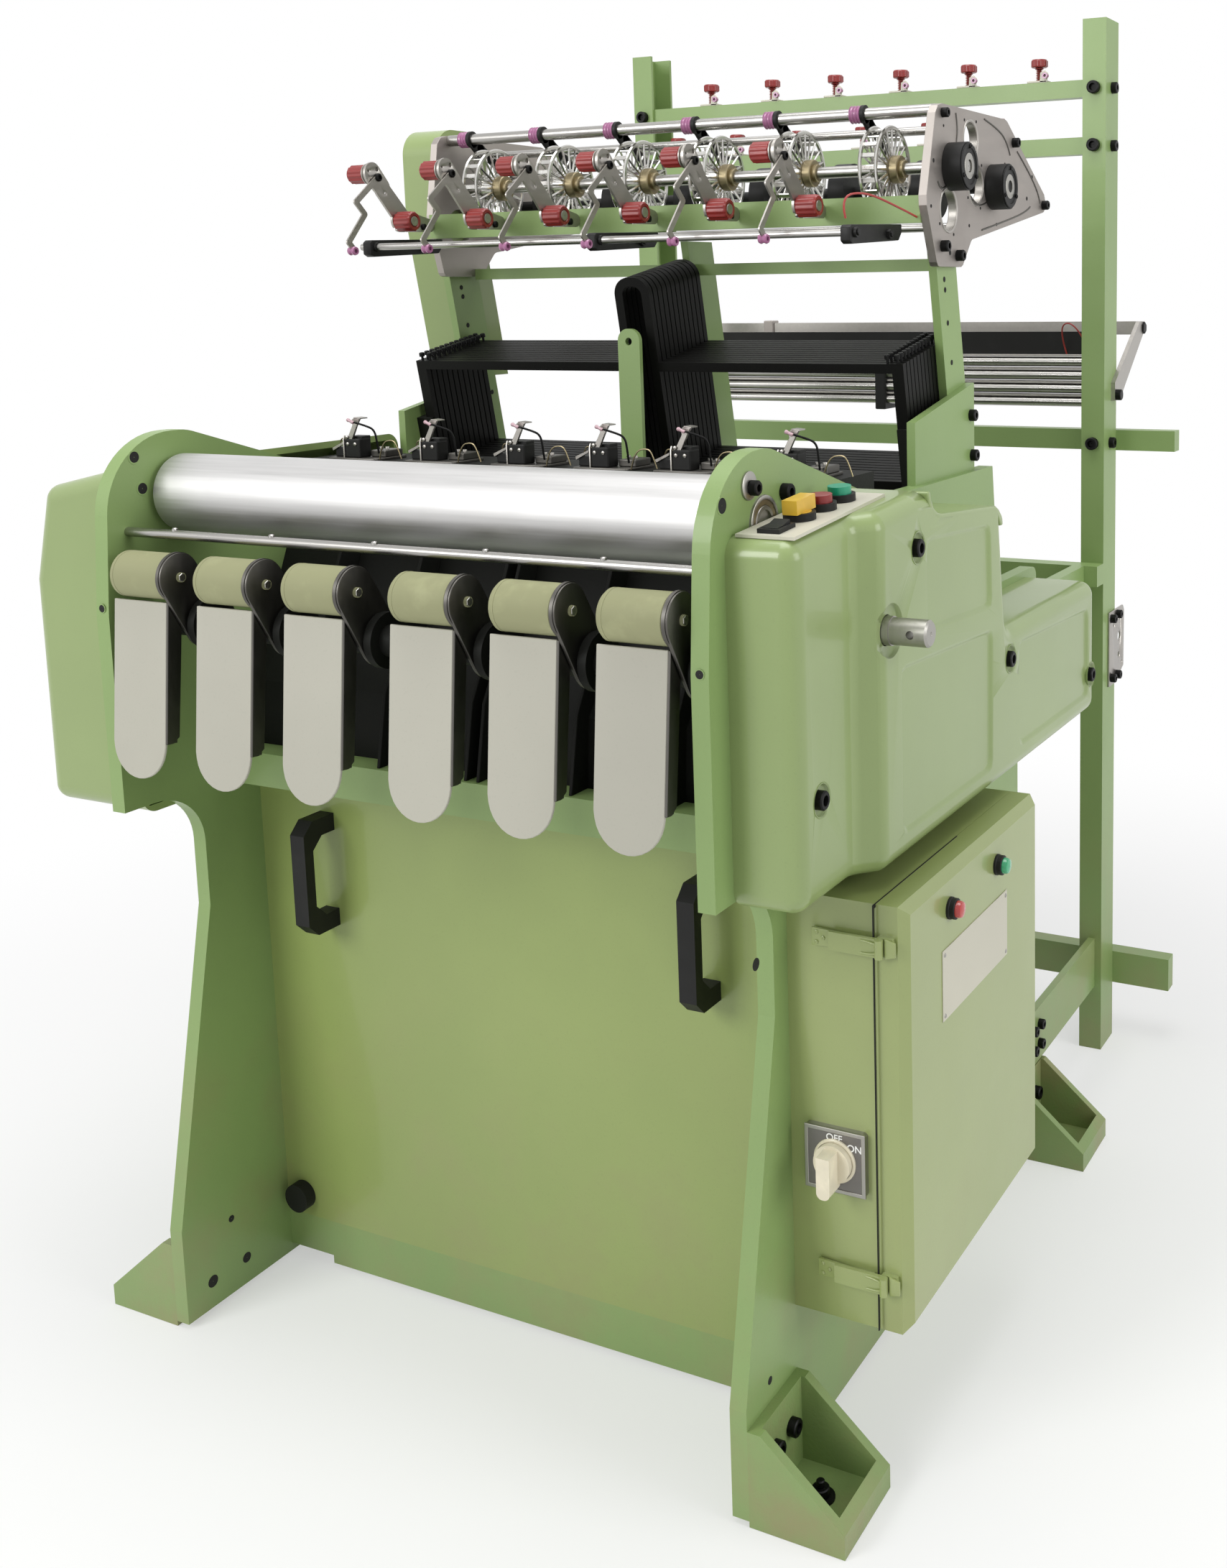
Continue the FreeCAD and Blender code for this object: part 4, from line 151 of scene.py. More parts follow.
def sheet_cut(name, axis, low, high, outline, edge=0.0, steps=2):
    """A plate of any outline, pushed out between two places along an axis."""
    put_down()
    bpy.ops.mesh.primitive_circle_add(vertices=len(outline), radius=1, fill_type="NGON")
    piece = bpy.context.object
    for vertex, spot in zip(piece.data.vertices, outline):
        spot = list(spot)
        spot.insert("xyz".index(axis), low)
        vertex.co = at(*spot)
    edit()
    bpy.ops.mesh.extrude_region_move(TRANSFORM_OT_translate={"value": unit(axis) * (high - low) * MM})
    skin(piece, name)
    return round_off(ease(piece, edge, steps)) if edge else piece


def spun(name, axis, centre, profile, steps=32, angle=35):
    """A closed profile of (along, radius) spun round an axis through a place."""
    put_down()
    bpy.ops.mesh.primitive_circle_add(vertices=len(profile), radius=1, fill_type="NOTHING")
    piece = bpy.context.object
    along, out = unit(axis), unit("x" if axis == "z" else "z")
    middle = at(*centre)
    for vertex, (a, r) in zip(piece.data.vertices, profile):
        vertex.co = middle + (along * a + out * r) * MM
    edit()
    bpy.ops.mesh.spin(steps=steps, angle=math.tau, center=middle, axis=along)
    bpy.ops.mesh.select_all(action="SELECT")
    bpy.ops.mesh.remove_doubles(threshold=0.00002)
    return round_off(skin(piece, name), angle)


def bored(bore, *points):
    """Profile of a solid round a bore; its points are (along, radius)."""
    return [(points[0][0], bore), *points, (points[-1][0], bore)]


def mirrored(way, profile):
    """A profile as it is for 1, or the other way along for -1."""
    return [(a * way, r) for a, r in profile]


def ring_line(low, high, radius, bore=CORE):
    """Profile of a plain disc or ring."""
    return bored(bore, (low, radius), (high, radius))


def socket_line(radius, shoulder, top, rim, mouth, floor, foot, way=1):
    """Profile of a screw head: a chamfer up to the rim, and a socket down to its floor."""
    line = bored(CORE, (0, radius), (shoulder, radius), (top, rim), (top, mouth), (floor, foot))
    return mirrored(way, line)


def bent_wire(name, points, radius):
    """A wire along smooth points."""
    line = bpy.data.curves.new(name, "CURVE")
    line.dimensions = "3D"
    line.bevel_depth = radius * MM
    line.bevel_resolution = 2
    line.use_fill_caps = True
    run = line.splines.new("NURBS")
    run.points.add(len(points) - 1)
    for knot, spot in zip(run.points, points):
        knot.co = (*at(*spot), 1)
    run.order_u = 3
    run.use_endpoint_u = True
    run.resolution_u = 5
    pick_up(added(name, line))
    bpy.ops.object.convert(target="MESH")
    return round_off(settle(bpy.context.object, name), 60)


def moved(piece, name, dx=0, dy=0):
    """A copy with its own mesh, some millimetres away."""
    twin = piece.copy()
    twin.data = piece.data.copy()
    bpy.context.scene.collection.objects.link(twin)
    twin.data.transform(Matrix.Translation(Vector((dx, dy, 0)) * MM))
    return called(twin, name)


def turned(piece, centre, axis, degrees):
    """Turns the mesh about an axis through a place."""
    spot = at(*centre)
    turn = Matrix.Rotation(math.radians(degrees), 4, axis)
    piece.data.transform(Matrix.Translation(spot) @ turn @ Matrix.Translation(-spot))
    return piece


def joined(name, parts):
    put_down()
    for part in parts:
        part.select_set(True)
    bpy.context.view_layer.objects.active = parts[0]
    if len(parts) > 1:
        bpy.ops.object.join()
    return called(bpy.context.view_layer.objects.active, name)


def copies(name, parts, dx, dy=0):
    """Copies of some patterns, joined some millimetres away from them."""
    return joined(name, [moved(part, "part", dx, dy) for part in parts])


def clear(*patterns):
    for pattern in patterns:
        bpy.data.objects.remove(pattern)


def combine(piece, tools, operation):
    for tool in tools:
        modify(piece, "BOOLEAN", operation=operation, object=tool)
        clear(tool)
    return piece


def carve(piece, tools):
    """Cuts the tools out of the piece and throws them away."""
    return combine(piece, tools, "DIFFERENCE")


def welded(name, parts):
    """Parts become one skin with nothing left inside."""
    return round_off(called(combine(parts[0], parts[1:], "UNION"), name))


def fit(piece, finish, slot, body="loom_frame", instead=()):
    """The piece gets its finish and rides on its body."""
    piece.data.materials.clear()
    piece.data.materials.append(finish)
    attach(piece, body)
    if instead:
        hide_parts(*instead)
    return piece


# ---------------- finishes
class Amount:
    """A number that varies over a surface; sums on it add Math nodes."""

    def __init__(self, nodes, socket):
        self.nodes = nodes
        self.socket = socket

    def _sum(self, operation, first, second):
        node = self.nodes.make("ShaderNodeMath", {"operation": operation}, {0: first, 1: second})
        return Amount(self.nodes, node.outputs[0])

    def __add__(self, other):
        return self._sum("ADD", self, other)

    def __sub__(self, other):
        return self._sum("SUBTRACT", self, other)

    def __rsub__(self, other):
        return self._sum("SUBTRACT", other, self)

    def __mul__(self, other):
        return self._sum("MULTIPLY", self, other)

    __radd__ = __add__
    __rmul__ = __mul__


class Nodes:
    """The node tree of a material or a world."""

    def __init__(self, tree):
        self.tree = tree

    def make(self, kind, settings, inputs):
        """A node of a kind; its settings are set before its sockets."""
        node = self.tree.nodes.new(kind)
        for key, value in settings.items():
            setattr(node, key, value)
        for key, value in inputs.items():
            if isinstance(value, Amount):
                value = value.socket
            if isinstance(value, bpy.types.NodeSocket):
                self.tree.links.new(value, node.inputs[key])
            else:
                node.inputs[key].default_value = value
        return node

    def in_view(self):
        """1 where the camera looks, straight or by way of a reflection."""
        path = self.make("ShaderNodeLightPath", {}, {})
        camera, glossy, through = (Amount(self, path.outputs["Is %s Ray" % kind]) for kind in ("Camera",
            "Glossy", "Transmission"))
        return camera + glossy + through


class Finish(Nodes):
    """One finish: a shader and the pattern nodes that feed it."""

    def __init__(self, name, colour, rough, metal=0.0, coat=0.0):
        self.material = bpy.data.materials.new(name)
        self.material.use_nodes = True
        super().__init__(self.material.node_tree)
        self.shader = self.tree.nodes["Principled BSDF"]
        for key, value in (("Base Color", (*colour, 1)), ("Roughness", rough), ("Metallic", metal),
                ("Coat Weight", coat), ("Coat Roughness", 0.08)):
            self.shader.inputs[key].default_value = value
        self.places = self.make("ShaderNodeTexCoord", {}, {}).outputs["Object"]

    def grain(self, scale, detail=3, stretch=None):
        """Cloudy noise from 0 to 1; the scale counts per metre."""
        places = self.places
        if stretch:
            places = self.make("ShaderNodeMapping", {}, {"Vector": places, "Scale": stretch}).outputs[0]
        node = self.make("ShaderNodeTexNoise", {}, {"Vector": places, "Scale": scale, "Detail": detail,
            "Roughness": 0.55})
        return Amount(self, node.outputs[0])

    def height(self):
        """Height above the floor in metres."""
        node = self.make("ShaderNodeSeparateXYZ", {}, {0: self.places})
        return Amount(self, node.outputs[2])

    def ramp(self, amount, low, high):
        """0 below low, 1 above high."""
        node = self.make("ShaderNodeMapRange", {"interpolation_type": "SMOOTHSTEP"}, {"Value": amount,
            "From Min": low, "From Max": high})
        return Amount(self, node.outputs[0])

    def blend(self, amount, first, second):
        """One colour turns into another with the amount."""
        first, second = (tint if isinstance(tint, bpy.types.NodeSocket) else (*tint, 1)
            for tint in (first, second))
        node = self.make("ShaderNodeMix", {"data_type": "RGBA"}, {"Factor": amount, 6: first, 7: second})
        return node.outputs[2]

    def paint(self, colour, rough, bump, strength, distance):
        """Feeds the shader."""
        bumps = self.make("ShaderNodeBump", {}, {"Height": bump, "Strength": strength,
            "Distance": distance})
        for key, socket in (("Base Color", colour), ("Roughness", rough.socket), ("Normal",
                bumps.outputs[0])):
            self.tree.links.new(socket, self.shader.inputs[key])
        return self.material


def shade(colour, factor):
    return tuple(min(1.0, c * factor) for c in colour)


def enamel(name, colour, rough=0.3, coat=0.3, dirt=0.5, peel=0.14, shine=0.5):
    """Sprayed enamel: cloudy tone, orange peel, dust low down and rubbed patches."""
    f = Finish(name, colour, rough, coat=coat)
    f.shader.inputs["Specular IOR Level"].default_value = shine
    clouds = f.ramp(f.grain(2.2, 4), 0.3, 0.72)
    tone = f.blend(clouds, shade(colour, 0.92), shade(colour, 1.06))
    specks = f.ramp(f.grain(420, 2), 0.6, 0.7) * 0.1
    tone = f.blend(specks, tone, shade(colour, 0.6))
    dust = (1 - f.ramp(f.height(), 0.02, 0.5)) * f.ramp(f.grain(9, 5), 0.4, 0.7) * dirt
    tone = f.blend(dust, tone, (0.28, 0.26, 0.12))
    smear = f.ramp(f.grain(5, 6, (1, 1, 0.35)), 0.56, 0.78) * (0.3 * dirt)
    tone = f.blend(smear, tone, shade(colour, 0.7))
    gloss = rough + f.grain(6, 4) * 0.16 + smear * 0.4
    return f.paint(tone, gloss, f.grain(260, 2), peel, 0.0006)


def bare_metal(name, colour, rough, stretch=None, streak=0.25, scale=60, wave=0.06):
    """Turned, brushed or drawn metal with streaks and handling marks."""
    f = Finish(name, colour, rough, metal=1.0)
    lines = f.grain(scale, 3, stretch or (1, 1, 1))
    stains = f.ramp(f.grain(14, 3), 0.42, 0.8)
    tone = f.blend(lines, shade(colour, 0.88), shade(colour, 1.1))
    tone = f.blend(stains * 0.2, tone, shade(colour, 0.75))
    gloss = rough + lines * streak * 0.5 + stains * 0.08
    return f.paint(tone, gloss, lines, wave, 0.0004)


def moulded(name, colour, rough=0.45, coat=0.0, grit=420, strength=0.1, shine=0.5):
    """Moulded plastic or rubber with a fine grain and rubbed spots."""
    f = Finish(name, colour, rough, coat=coat)
    f.shader.inputs["Specular IOR Level"].default_value = shine
    rubbed = f.ramp(f.grain(26, 4), 0.5, 0.74)
    tone = f.blend(rubbed * 0.5, colour, shade(colour, 1.35))
    gloss = rough + f.grain(40, 3) * 0.14 - rubbed * 0.08
    return f.paint(tone, gloss, f.grain(grit, 2), strength, 0.0003)


green_paint = enamel("green_frame_enamel", (0.235, 0.345, 0.120), 0.36, 0.12)
green_panel = enamel("green_panel_enamel", (0.275, 0.348, 0.105), 0.28, 0.35, 0.4)
green_cabinet = enamel("green_cabinet_enamel", (0.305, 0.365, 0.134), 0.26, 0.4, 0.3, 0.08)
green_cover = enamel("green_cover_gelcoat", (0.262, 0.345, 0.128), 0.28, 0.4, 0.25, 0.05)
green_cast = enamel("green_cast_enamel", (0.232, 0.33, 0.115), 0.4, 0.15, 0.9, 0.5)
black_paint = enamel("black_machine_enamel", (0.008, 0.0085, 0.007), 0.5, 0.0, 0.2, 0.3, 0.15)
heald_black = enamel("black_heald_anodising", (0.0045, 0.0045, 0.004), 0.4, 0.0, 0.0, 0.2, 0.12)
roller_skin = bare_metal("roller_aluminium", (0.56, 0.555, 0.55), 0.4, (0.02, 1, 1), 0.3, 420, 0.04)
plate_metal = bare_metal("milled_aluminium", (0.37, 0.34, 0.315), 0.42, (1, 0.08, 0.4), 0.4, 300, 0.08)
chrome = bare_metal("ground_bar", (0.40, 0.39, 0.37), 0.24, (0.02, 1, 1), 0.1, 500, 0.01)
bright_spokes = bare_metal("chrome_spokes", (0.62, 0.61, 0.58), 0.14, (1, 1, 1), 0.2, 60, 0.05)
steel = bare_metal("machined_steel", (0.38, 0.37, 0.34), 0.30, (1, 1, 0.1), 0.35, 260, 0.08)
# dark steel: the own colour of the outlet cheeks and needle tables, and painted shade on the chute edges
# and the plate grooves
dark_steel_and_shade = bare_metal("dark_steel_and_painted_shade", (0.115, 0.11, 0.10), 0.36, (1, 1, 0.3), 0.3, 160, 0.1)
stamped = bare_metal("stamped_steel", (0.42, 0.40, 0.37), 0.3, (1, 0.2, 1), 0.3, 180, 0.06)
brass = bare_metal("turned_brass", (0.37, 0.31, 0.19), 0.32, (0.1, 1, 1), 0.3, 260, 0.06)
blackened = bare_metal("blackened_screw_steel", (0.02, 0.02, 0.02), 0.4, None, 0.3, 120, 0.08)
olive = moulded("olive_roller_rubber", (0.29, 0.295, 0.165), 0.6, 0.0, 600, 0.12, 0.25)
grey_sheet = enamel("grey_chute_paint", (0.43, 0.42, 0.355), 0.6, 0.0, 0.1, 0.03)
black_plastic = moulded("black_handle_plastic", (0.009, 0.009, 0.0085), 0.45, 0.0, 500, 0.2, 0.25)
red_plastic = moulded("red_knob_plastic", (0.24, 0.014, 0.012), 0.34, 0.2, 300, 0.05)
green_plastic = moulded("green_button_plastic", (0.01, 0.33, 0.18), 0.3, 0.3, 200, 0.03)
yellow_plastic = moulded("yellow_selector_plastic", (0.68, 0.42, 0.03), 0.34, 0.25, 200, 0.03)
cream = moulded("cream_knob_plastic", (0.74, 0.68, 0.52), 0.3, 0.4, 160, 0.02)
white_plate = enamel("pale_plate_paint", (0.58, 0.56, 0.46), 0.45, 0.1, 0.1, 0.05)
pale_ceramic = moulded("pale_pink_ceramic", (0.50, 0.32, 0.36), 0.3, 0.3, 200, 0.02)
ceramic = moulded("mauve_ceramic", (0.37, 0.13, 0.27), 0.25, 0.5, 200, 0.02)
red_lens = moulded("red_lamp_lens", (0.46, 0.02, 0.015), 0.14, 0.7, 900, 0.3)
green_lens = moulded("green_lamp_lens", (0.015, 0.36, 0.15), 0.14, 0.7, 900, 0.3)
red_wire = moulded("red_wire_sleeve", (0.36, 0.03, 0.025), 0.4, 0.2, 300, 0.05)
spring_pink = bare_metal("reddened_spring_wire", (0.55, 0.25, 0.22), 0.3)
letter_white = moulded("letter_white_ink", (0.86, 0.86, 0.84), 0.5)
# painted shade: a near-black finish for discs that stand in for the shade inside holes
hole_shade = moulded("painted_hole_shade", (0.006, 0.006, 0.005), 0.8, 0.0, 900, 0.3)

finishes = {
    green_paint: "side_plate_left side_plate_right cross_ties upright_left upright_right "
                 "centre_supports upper_crossbars creel_posts creel_rails",
    green_panel: "front_panel",
    green_cabinet: "cabinet_body cabinet_door latch_upper latch_lower",
    green_cover: "side_cover_left gear_cover_right belt_guard",
    green_cast: "machine_feet",
    black_paint: "head_beam weaving_heads outlet_shaft stop_motion_rail frame_guides",
    heald_black: "heald_frames_odd heald_frames_even",
    roller_skin: "takeup_roller",
    chrome: "guide_rod feeder_rods",
    plate_metal: "feeder_plate_left feeder_plate_right",
    steel: "outlet_brackets roller_bearings drive_shaft main_switch_plate",
    grey_sheet: "tape_chutes",
    olive: " ".join("outlet_roller_%d" % (i + 1) for i in range(6)),
    black_plastic: "panel_handles panel_bumper button_bezels rocker_switch feeder_hubs "
                   "second_feed_shaft",
    red_plastic: "red_button indicator_lamps tension_dials yarn_tensioners",
    green_plastic: "green_button",
    yellow_plastic: "selector_handle",
    cream: "main_switch_knob",
    white_plate: "control_plate",
    stamped: "tension_arms drop_wire_bar",
    bright_spokes: "feed_wheel_shaft",
    blackened: "machine_screws drop_wire_unit",
}
for finish, names in finishes.items():
    for name in names.split():
        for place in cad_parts[name].material_slots:
            place.material = finish

# ---------------- outlines
def wrap(rounds, steps=28):
    """The outline of a belt round some circles of (a, b, radius)."""
    points = sorted({(round(a + r * math.cos(k * math.tau / steps), 3),
                      round(b + r * math.sin(k * math.tau / steps), 3))
                     for a, b, r in rounds for k in range(steps)})
    line = []
    for run in (points, points[::-1]):
        half = []
        for spot in run:
            while len(half) > 1 and ((half[-1][0] - half[-2][0]) * (spot[1] - half[-2][1])
                                     - (half[-1][1] - half[-2][1]) * (spot[0] - half[-2][0])) <= 0:
                half.pop()
            half.append(spot)
        line += half[:-1]
    return line


def eased(points, radius):
    """Rounds the corners of an outline."""
    line = []
    for k, (a, b) in enumerate(points):
        ends = []
        for c, d in (points[k - 1], points[(k + 1) % len(points)]):
            share = radius / math.hypot(c - a, d - b)
            ends.append((a + (c - a) * share, b + (d - b) * share))
        first, last = ends
        middle = [0.25 * p + 0.5 * q + 0.25 * r for p, q, r in zip(first, (a, b), last)]
        line += [first, middle, last]
    return line


def fluted(name, axis, centre, radius, length, flutes=12):
    """A knob with finger flutes round it."""
    grip = spun(name, axis, centre, bored(CORE, (0, radius - 2), (1.5, radius), (length - 2, radius),
        (length, radius - 2), (length, radius * 0.62), (length - 1.2, radius * 0.55)), flutes * 4, 25)
    spot = at(*centre)
    across = [k for k in range(3) if "xyz"[k] != axis]
    for vertex in grip.data.vertices:
        arm = [vertex.co[k] - spot[k] for k in across]
        if math.hypot(*arm) > radius * 0.85 * MM:
            pull = 1 - 0.13 * (0.5 + 0.5 * math.cos(math.atan2(arm[1], arm[0]) * flutes))
            for k, part in zip(across, arm):
                vertex.co[k] = spot[k] + part * pull
    return grip


def row_of(steps, *kinds):
    """Copies of each kind's patterns at each step across; then the patterns go away."""
    for number, dx in enumerate(steps):
        for name, patterns, *look in kinds:
            fit(copies("%s_%d" % (name, number + 1), patterns, dx), *look)
    for _, patterns, *_ in kinds:
        clear(*patterns)


def repeated(name, axis, spots, profile, steps):
    """One spun shape at several places, as one piece."""
    return joined(name, [spun("part", axis, spot, profile, steps) for spot in spots])


def hole_shade_dots(name, spots, steps, axis="x"):
    """Thin near-black discs of painted shade where holes are drilled, at (x, y, z, radius)."""
    parts = [spun("dot", axis, spot, ring_line(-0.3, 0.3, r), steps) for *spot, r in spots]
    return fit(joined(name, parts), hole_shade, "black_paint")


# ---------------- feed wheels
FEED = (544, 1286)
SPOKES = 20
first_wheel = -280
parts = []
for side in (-1, 1):
    x = first_wheel + side * 10
    parts.append(spun("rim", "x", (x, *FEED), [(-1.6, 45.5), (-1.6, 48.8), (0, 50), (1.6, 48.8),
        (1.6, 45.5), (0, 44.6)], 44))
    parts.append(spun("disc", "x", (x, *FEED), bored(8, (-1.2, 17), (0, 19), (1.2, 17))))
    fin = block("fin", (x - 1.2, FEED[0] - 1.5, FEED[1] + 16), (x + 1.2, FEED[0] + 1.5, FEED[1] + 46), 0.6,
        1)
    turned(fin, (x, FEED[0], FEED[1] + 16), "Z", 35)
    parts += [turned(moved(fin, "fin"), (x, *FEED), "X", 360 / SPOKES * i + side * 2.5)
        for i in range(SPOKES)]
    clear(fin)
finger = block("finger", (first_wheel - 10, FEED[0] - 3, FEED[1] + 44), (first_wheel + 10, FEED[0] + 3,
    FEED[1] + 46.4), 0.8, 1)
parts += [turned(moved(finger, "finger"), (first_wheel, *FEED), "X", 360 / SPOKES * i)
    for i in range(SPOKES)]
parts.append(spun("cup", "x", (first_wheel, *FEED), ring_line(-12, 12, 15, 8)))
spoked = joined("spoked_wheel", parts)
hub = spun("wheel_hub", "x", (first_wheel, *FEED), bored(6.9, (11.4, 15.4), (12, 16), (21, 16), (22, 15),
    (22, 10.6), (26, 10.6), (27, 9.6)), 28)
wheel_steps = [WHEEL_STEP * i for i in range(TAPES)]
row_of(wheel_steps, ("feed_wheel", [spoked], bright_spokes, "aluminium", "feed_wheel_shaft",
    ("feed_wheel_shaft",)), ("feed_hub", [hub], brass, "aluminium", "feed_wheel_shaft"))
axle = spun("feed_axle", "x", (0, *FEED), bored(0.5, (-341.7, 6.4), (-341, 7), (383, 7), (384, 6)), 24)
fit(axle, chrome, "aluminium", "feed_wheel_shaft", ("feed_wheel_shaft",))

# presser arms and ceramic eyes on the top rod
ROD = (526, 1348)
eye = spun("eye", "x", (-306, *ROD), bored(7.1, (-7, 9), (-6, 10.2), (-5, 9), (-3.4, 8.7), (-2, 10.2),
    (-0.6, 8.7), (0.6, 8.7), (2, 10.2), (3.4, 8.7), (5, 9), (6, 10.2), (7, 9.4)))
presser = [spun("collar", "x", (-296.6, *ROD), ring_line(-2.2, 2.2, 10.4, 7.1), 24)]
presser += [sheet_cut("strut", "x", -298.4, -294.4, wrap(line), 0.8) for line in ([(530, 1344, 9),
    (540, 1336, 9)], [(540, 1338, 7), (612, 1296, 4)])]
clear(finger)
row_of(wheel_steps, ("rod_eye", [eye], ceramic, "white_plate"), ("presser_arm", presser, black_plastic,
    "black_plastic"))

# ---------------- yarn tension devices
BEAM = 478
knee = (BEAM - 66, 1241)
head = (BEAM - 107, 1297)
toe = (head[0] - 50, 1214)


def beside(spot, back, up=0):
    return spot[0] + back, spot[1] + up


bracket = welded("bracket", [sheet_cut("arm", "x", -327, -324, wrap([(*first, r), (*last, q)]))
    for first, r, last, q in ((head, 14, beside(head, 16, -16), 12.5), (beside(head, 15, -17), 12,
    beside(knee, 4, 8), 13), (beside(knee, 3, 2), 14.5, (BEAM - 8, 1238), 8))])
carve(bracket, [bar("bore", "x", (-330, *spot), r, 9) for spot, r in ((beside(head, 7, 6), 2.6),
    (beside(head, -8, 3), 1.6), (beside(head, 20, -22), 2), (beside(knee, -6, -9), 2.2),
    (beside(knee, 12, -11), 2.2), (beside(head, -2, -9), 1.6))])
ease(bracket, 0.4, 1, 50)
disc = spun("disc", "x", (-327, *head), bored(1, (-5, 12.5), (-4, 12.5), (-3, 10), (-2.4, 10), (-1.4, 12.5),
    (-0.2, 12.5)))
pivot = spun("pivot", "x", (-324, *beside(head, 6, -4)), bored(0.5, (0, 5), (4, 5), (5, 4), (5, 2.6),
    (3, 2.4)), 20)
boss = spun("boss", "x", (-324, BEAM - 22, 1236), bored(0.5, (0, 4), (3, 4), (3.6, 3)), 16)
bends = [beside(head, 6, -4), (head[0] - 34, 1262), (head[0] - 20, 1248), toe, beside(toe, 8, -8)]
feeler = welded("feeler", [sheet_cut("strip", "x", -323.4, -321.4, wrap([(*first, 3.6), (*last, 3.6)], 16))
    for first, last in zip(bends, bends[1:])])
eyelet = spun("eyelet", "x", (-322, head[0] - 44, 1204), bored(2.4, (-5, 4.6), (-3, 5.4), (0, 4.2),
    (3, 5.4), (5, 4.6)), 24)
lower = fluted("lower", "x", (-324, *knee), 12.5, 25)
upper = turned(fluted("upper", "x", (-357, *head), 11.5, 24), (-345, *head), "Z", 180)
cap = spun("cap", "x", (-324, *knee), bored(0.5, (24, 6.2), (25.2, 5.8)), 20)
row_of(wheel_steps, ("tension_bracket", [bracket, disc, feeler, cap], stamped, "steel", "loom_frame",
    ("tension_arms",)), ("tension_knobs", [lower, upper], red_plastic, "red_plastic", "loom_frame",
    ("tension_dials",)), ("tension_pivots", [pivot, boss], blackened, "black_paint"), ("tension_eyelet",
    [eyelet], ceramic, "red_plastic"))

# ---------------- creel yarn guides
GUIDE_STEP = 108.5
for row, first, level in (("upper", -256, 1438), ("second", -320, 1359)):
    y = 1066
    foot = block("foot", (first - 15, y - 11, level), (first + 15, y + 9, level + 3), 0.8)
    ear = sheet_cut("ear", "y", y - 11, y - 9.5, [(first + 4, level), (first + 15, level),
        (first + 17, level + 12), (first + 12, level + 17), (first + 5, level + 14)], 0.4, 1)
    stem = spun("stem", "z", (first, y, level), ring_line(3, 20, 2.6), 16)
    coil = joined("coil", [spun("turn", "z", (first, y, level + 4.5 + 2.4 * k), [(-0.8, 3.6), (0, 5.2),
        (0.8, 3.6)], 20) for k in range(7)])
    collar = spun("collar", "z", (first, y, level + 21), bored(CORE, (-1.2, 6), (0, 6.4), (1, 4)), 24)
    grip = fluted("grip", "z", (first, y, level + 22), 12.5, 11, 7)
    eye = spun("eye", "y", (first + 13, y - 12, level + 9), bored(2, (-3, 4.2), (0, 3.2), (3, 4.2)), 20)
    row_of([GUIDE_STEP * i for i in range(TAPES)], ("guide_clip_" + row, [foot, ear], white_plate,
        "white_plate", "loom_frame", ("yarn_tensioners",)), ("guide_knob_" + row, [stem, collar, grip],
        red_plastic, "red_plastic", "loom_frame", ("yarn_tensioners",)), ("guide_eye_" + row, [eye],
        ceramic, "red_plastic"), ("guide_spring_" + row, [coil], spring_pink, "red_plastic"))

# ---------------- weaving heads
y0 = 262                    # front of the weaving heads
base = sheet_cut("base", "z", 960, 963, [(-34, y0 - 2), (34, y0 - 2), (38, y0 + 8), (38, y0 + 50),
    (-34, y0 + 50)], 0.6, 1)
tower = block("tower", (-12, y0 + 2, 963), (10, y0 + 22, 985), 1.4)
cap_plate = block("cap_plate", (-10, y0 + 8, 984), (9, y0 + 23, 988), 0.8)
step = block("step", (-34, y0 + 10, 963), (-18, y0 + 40, 974), 1.2)
shoe = block("shoe", (14, y0 + 16, 963), (36, y0 + 46, 971), 1.2)
clamp = sheet_cut("clamp", "y", y0 + 3, y0 + 6, [(-9, 985), (-2, 983), (8, 1003), (12, 1009), (3, 1010),
    (-1, 1007), (0, 1001)], 0.5, 1)
lip = sheet_cut("lip", "y", y0 + 3, y0 + 16, [(3, 1009), (12, 1008.4), (12, 1009.6), (3, 1010.4)])
cheek = sheet_cut("cheek", "x", -14, -12.2, [(y0 + 1, 962), (y0 + 12, 962), (y0 + 10, 986), (y0 + 3, 989),
    (y0 + 1, 984)], 0.4, 1)
slip = sheet_cut("slip", "y", y0 + 8, y0 + 10, [(-36, 970), (-20, 978), (-19, 981), (-37, 973)])
studs = [spun("stud", "y", (x, y0 + 2.2, z), bored(CORE, (0, 2.2), (-1.2, 2), (-1.6, 1.2)), 14)
    for x, z in ((-7, 979), (4, 979), (-8, 987))]
studs += [spun("stud", "z", (x, y0 + 30, 962), bored(CORE, (0, 3.4), (2, 3.4), (2.6, 1.6), (10, 1.6),
    (10, 2.6), (12, 2.4)), 14) for x in (18, 27)]
jet = bent_wire("jet", [(30, y0 + 12, 968), (30, y0 + 10, 980), (29, y0 + 8, 996), (20, y0 + 3, 1001),
    (8, y0 - 2, 1005)], 1.2)
spring = bent_wire("spring", [(-30, y0 + 14, 972), (-24, y0 + 8, 982), (-16, y0 + 4, 986),
    (-12, y0 + 4, 984)], 0.8)
hoop = bent_wire("hoop", [(38, y0 + 4, 962), (44, y0 + 2, 982), (62, y0, 986), (68, y0, 980),
    (72, y0 + 2, 964)], 0.8)
bead = turned(spun("bead", "x", (4, y0 - 3, 1006), bored(0.7, (-5.5, 1.8), (-4, 2.3), (-2, 1.7), (0, 1.6),
    (2, 2), (4, 1.6)), 18), (4, y0 - 3, 1006), "Y", 22)
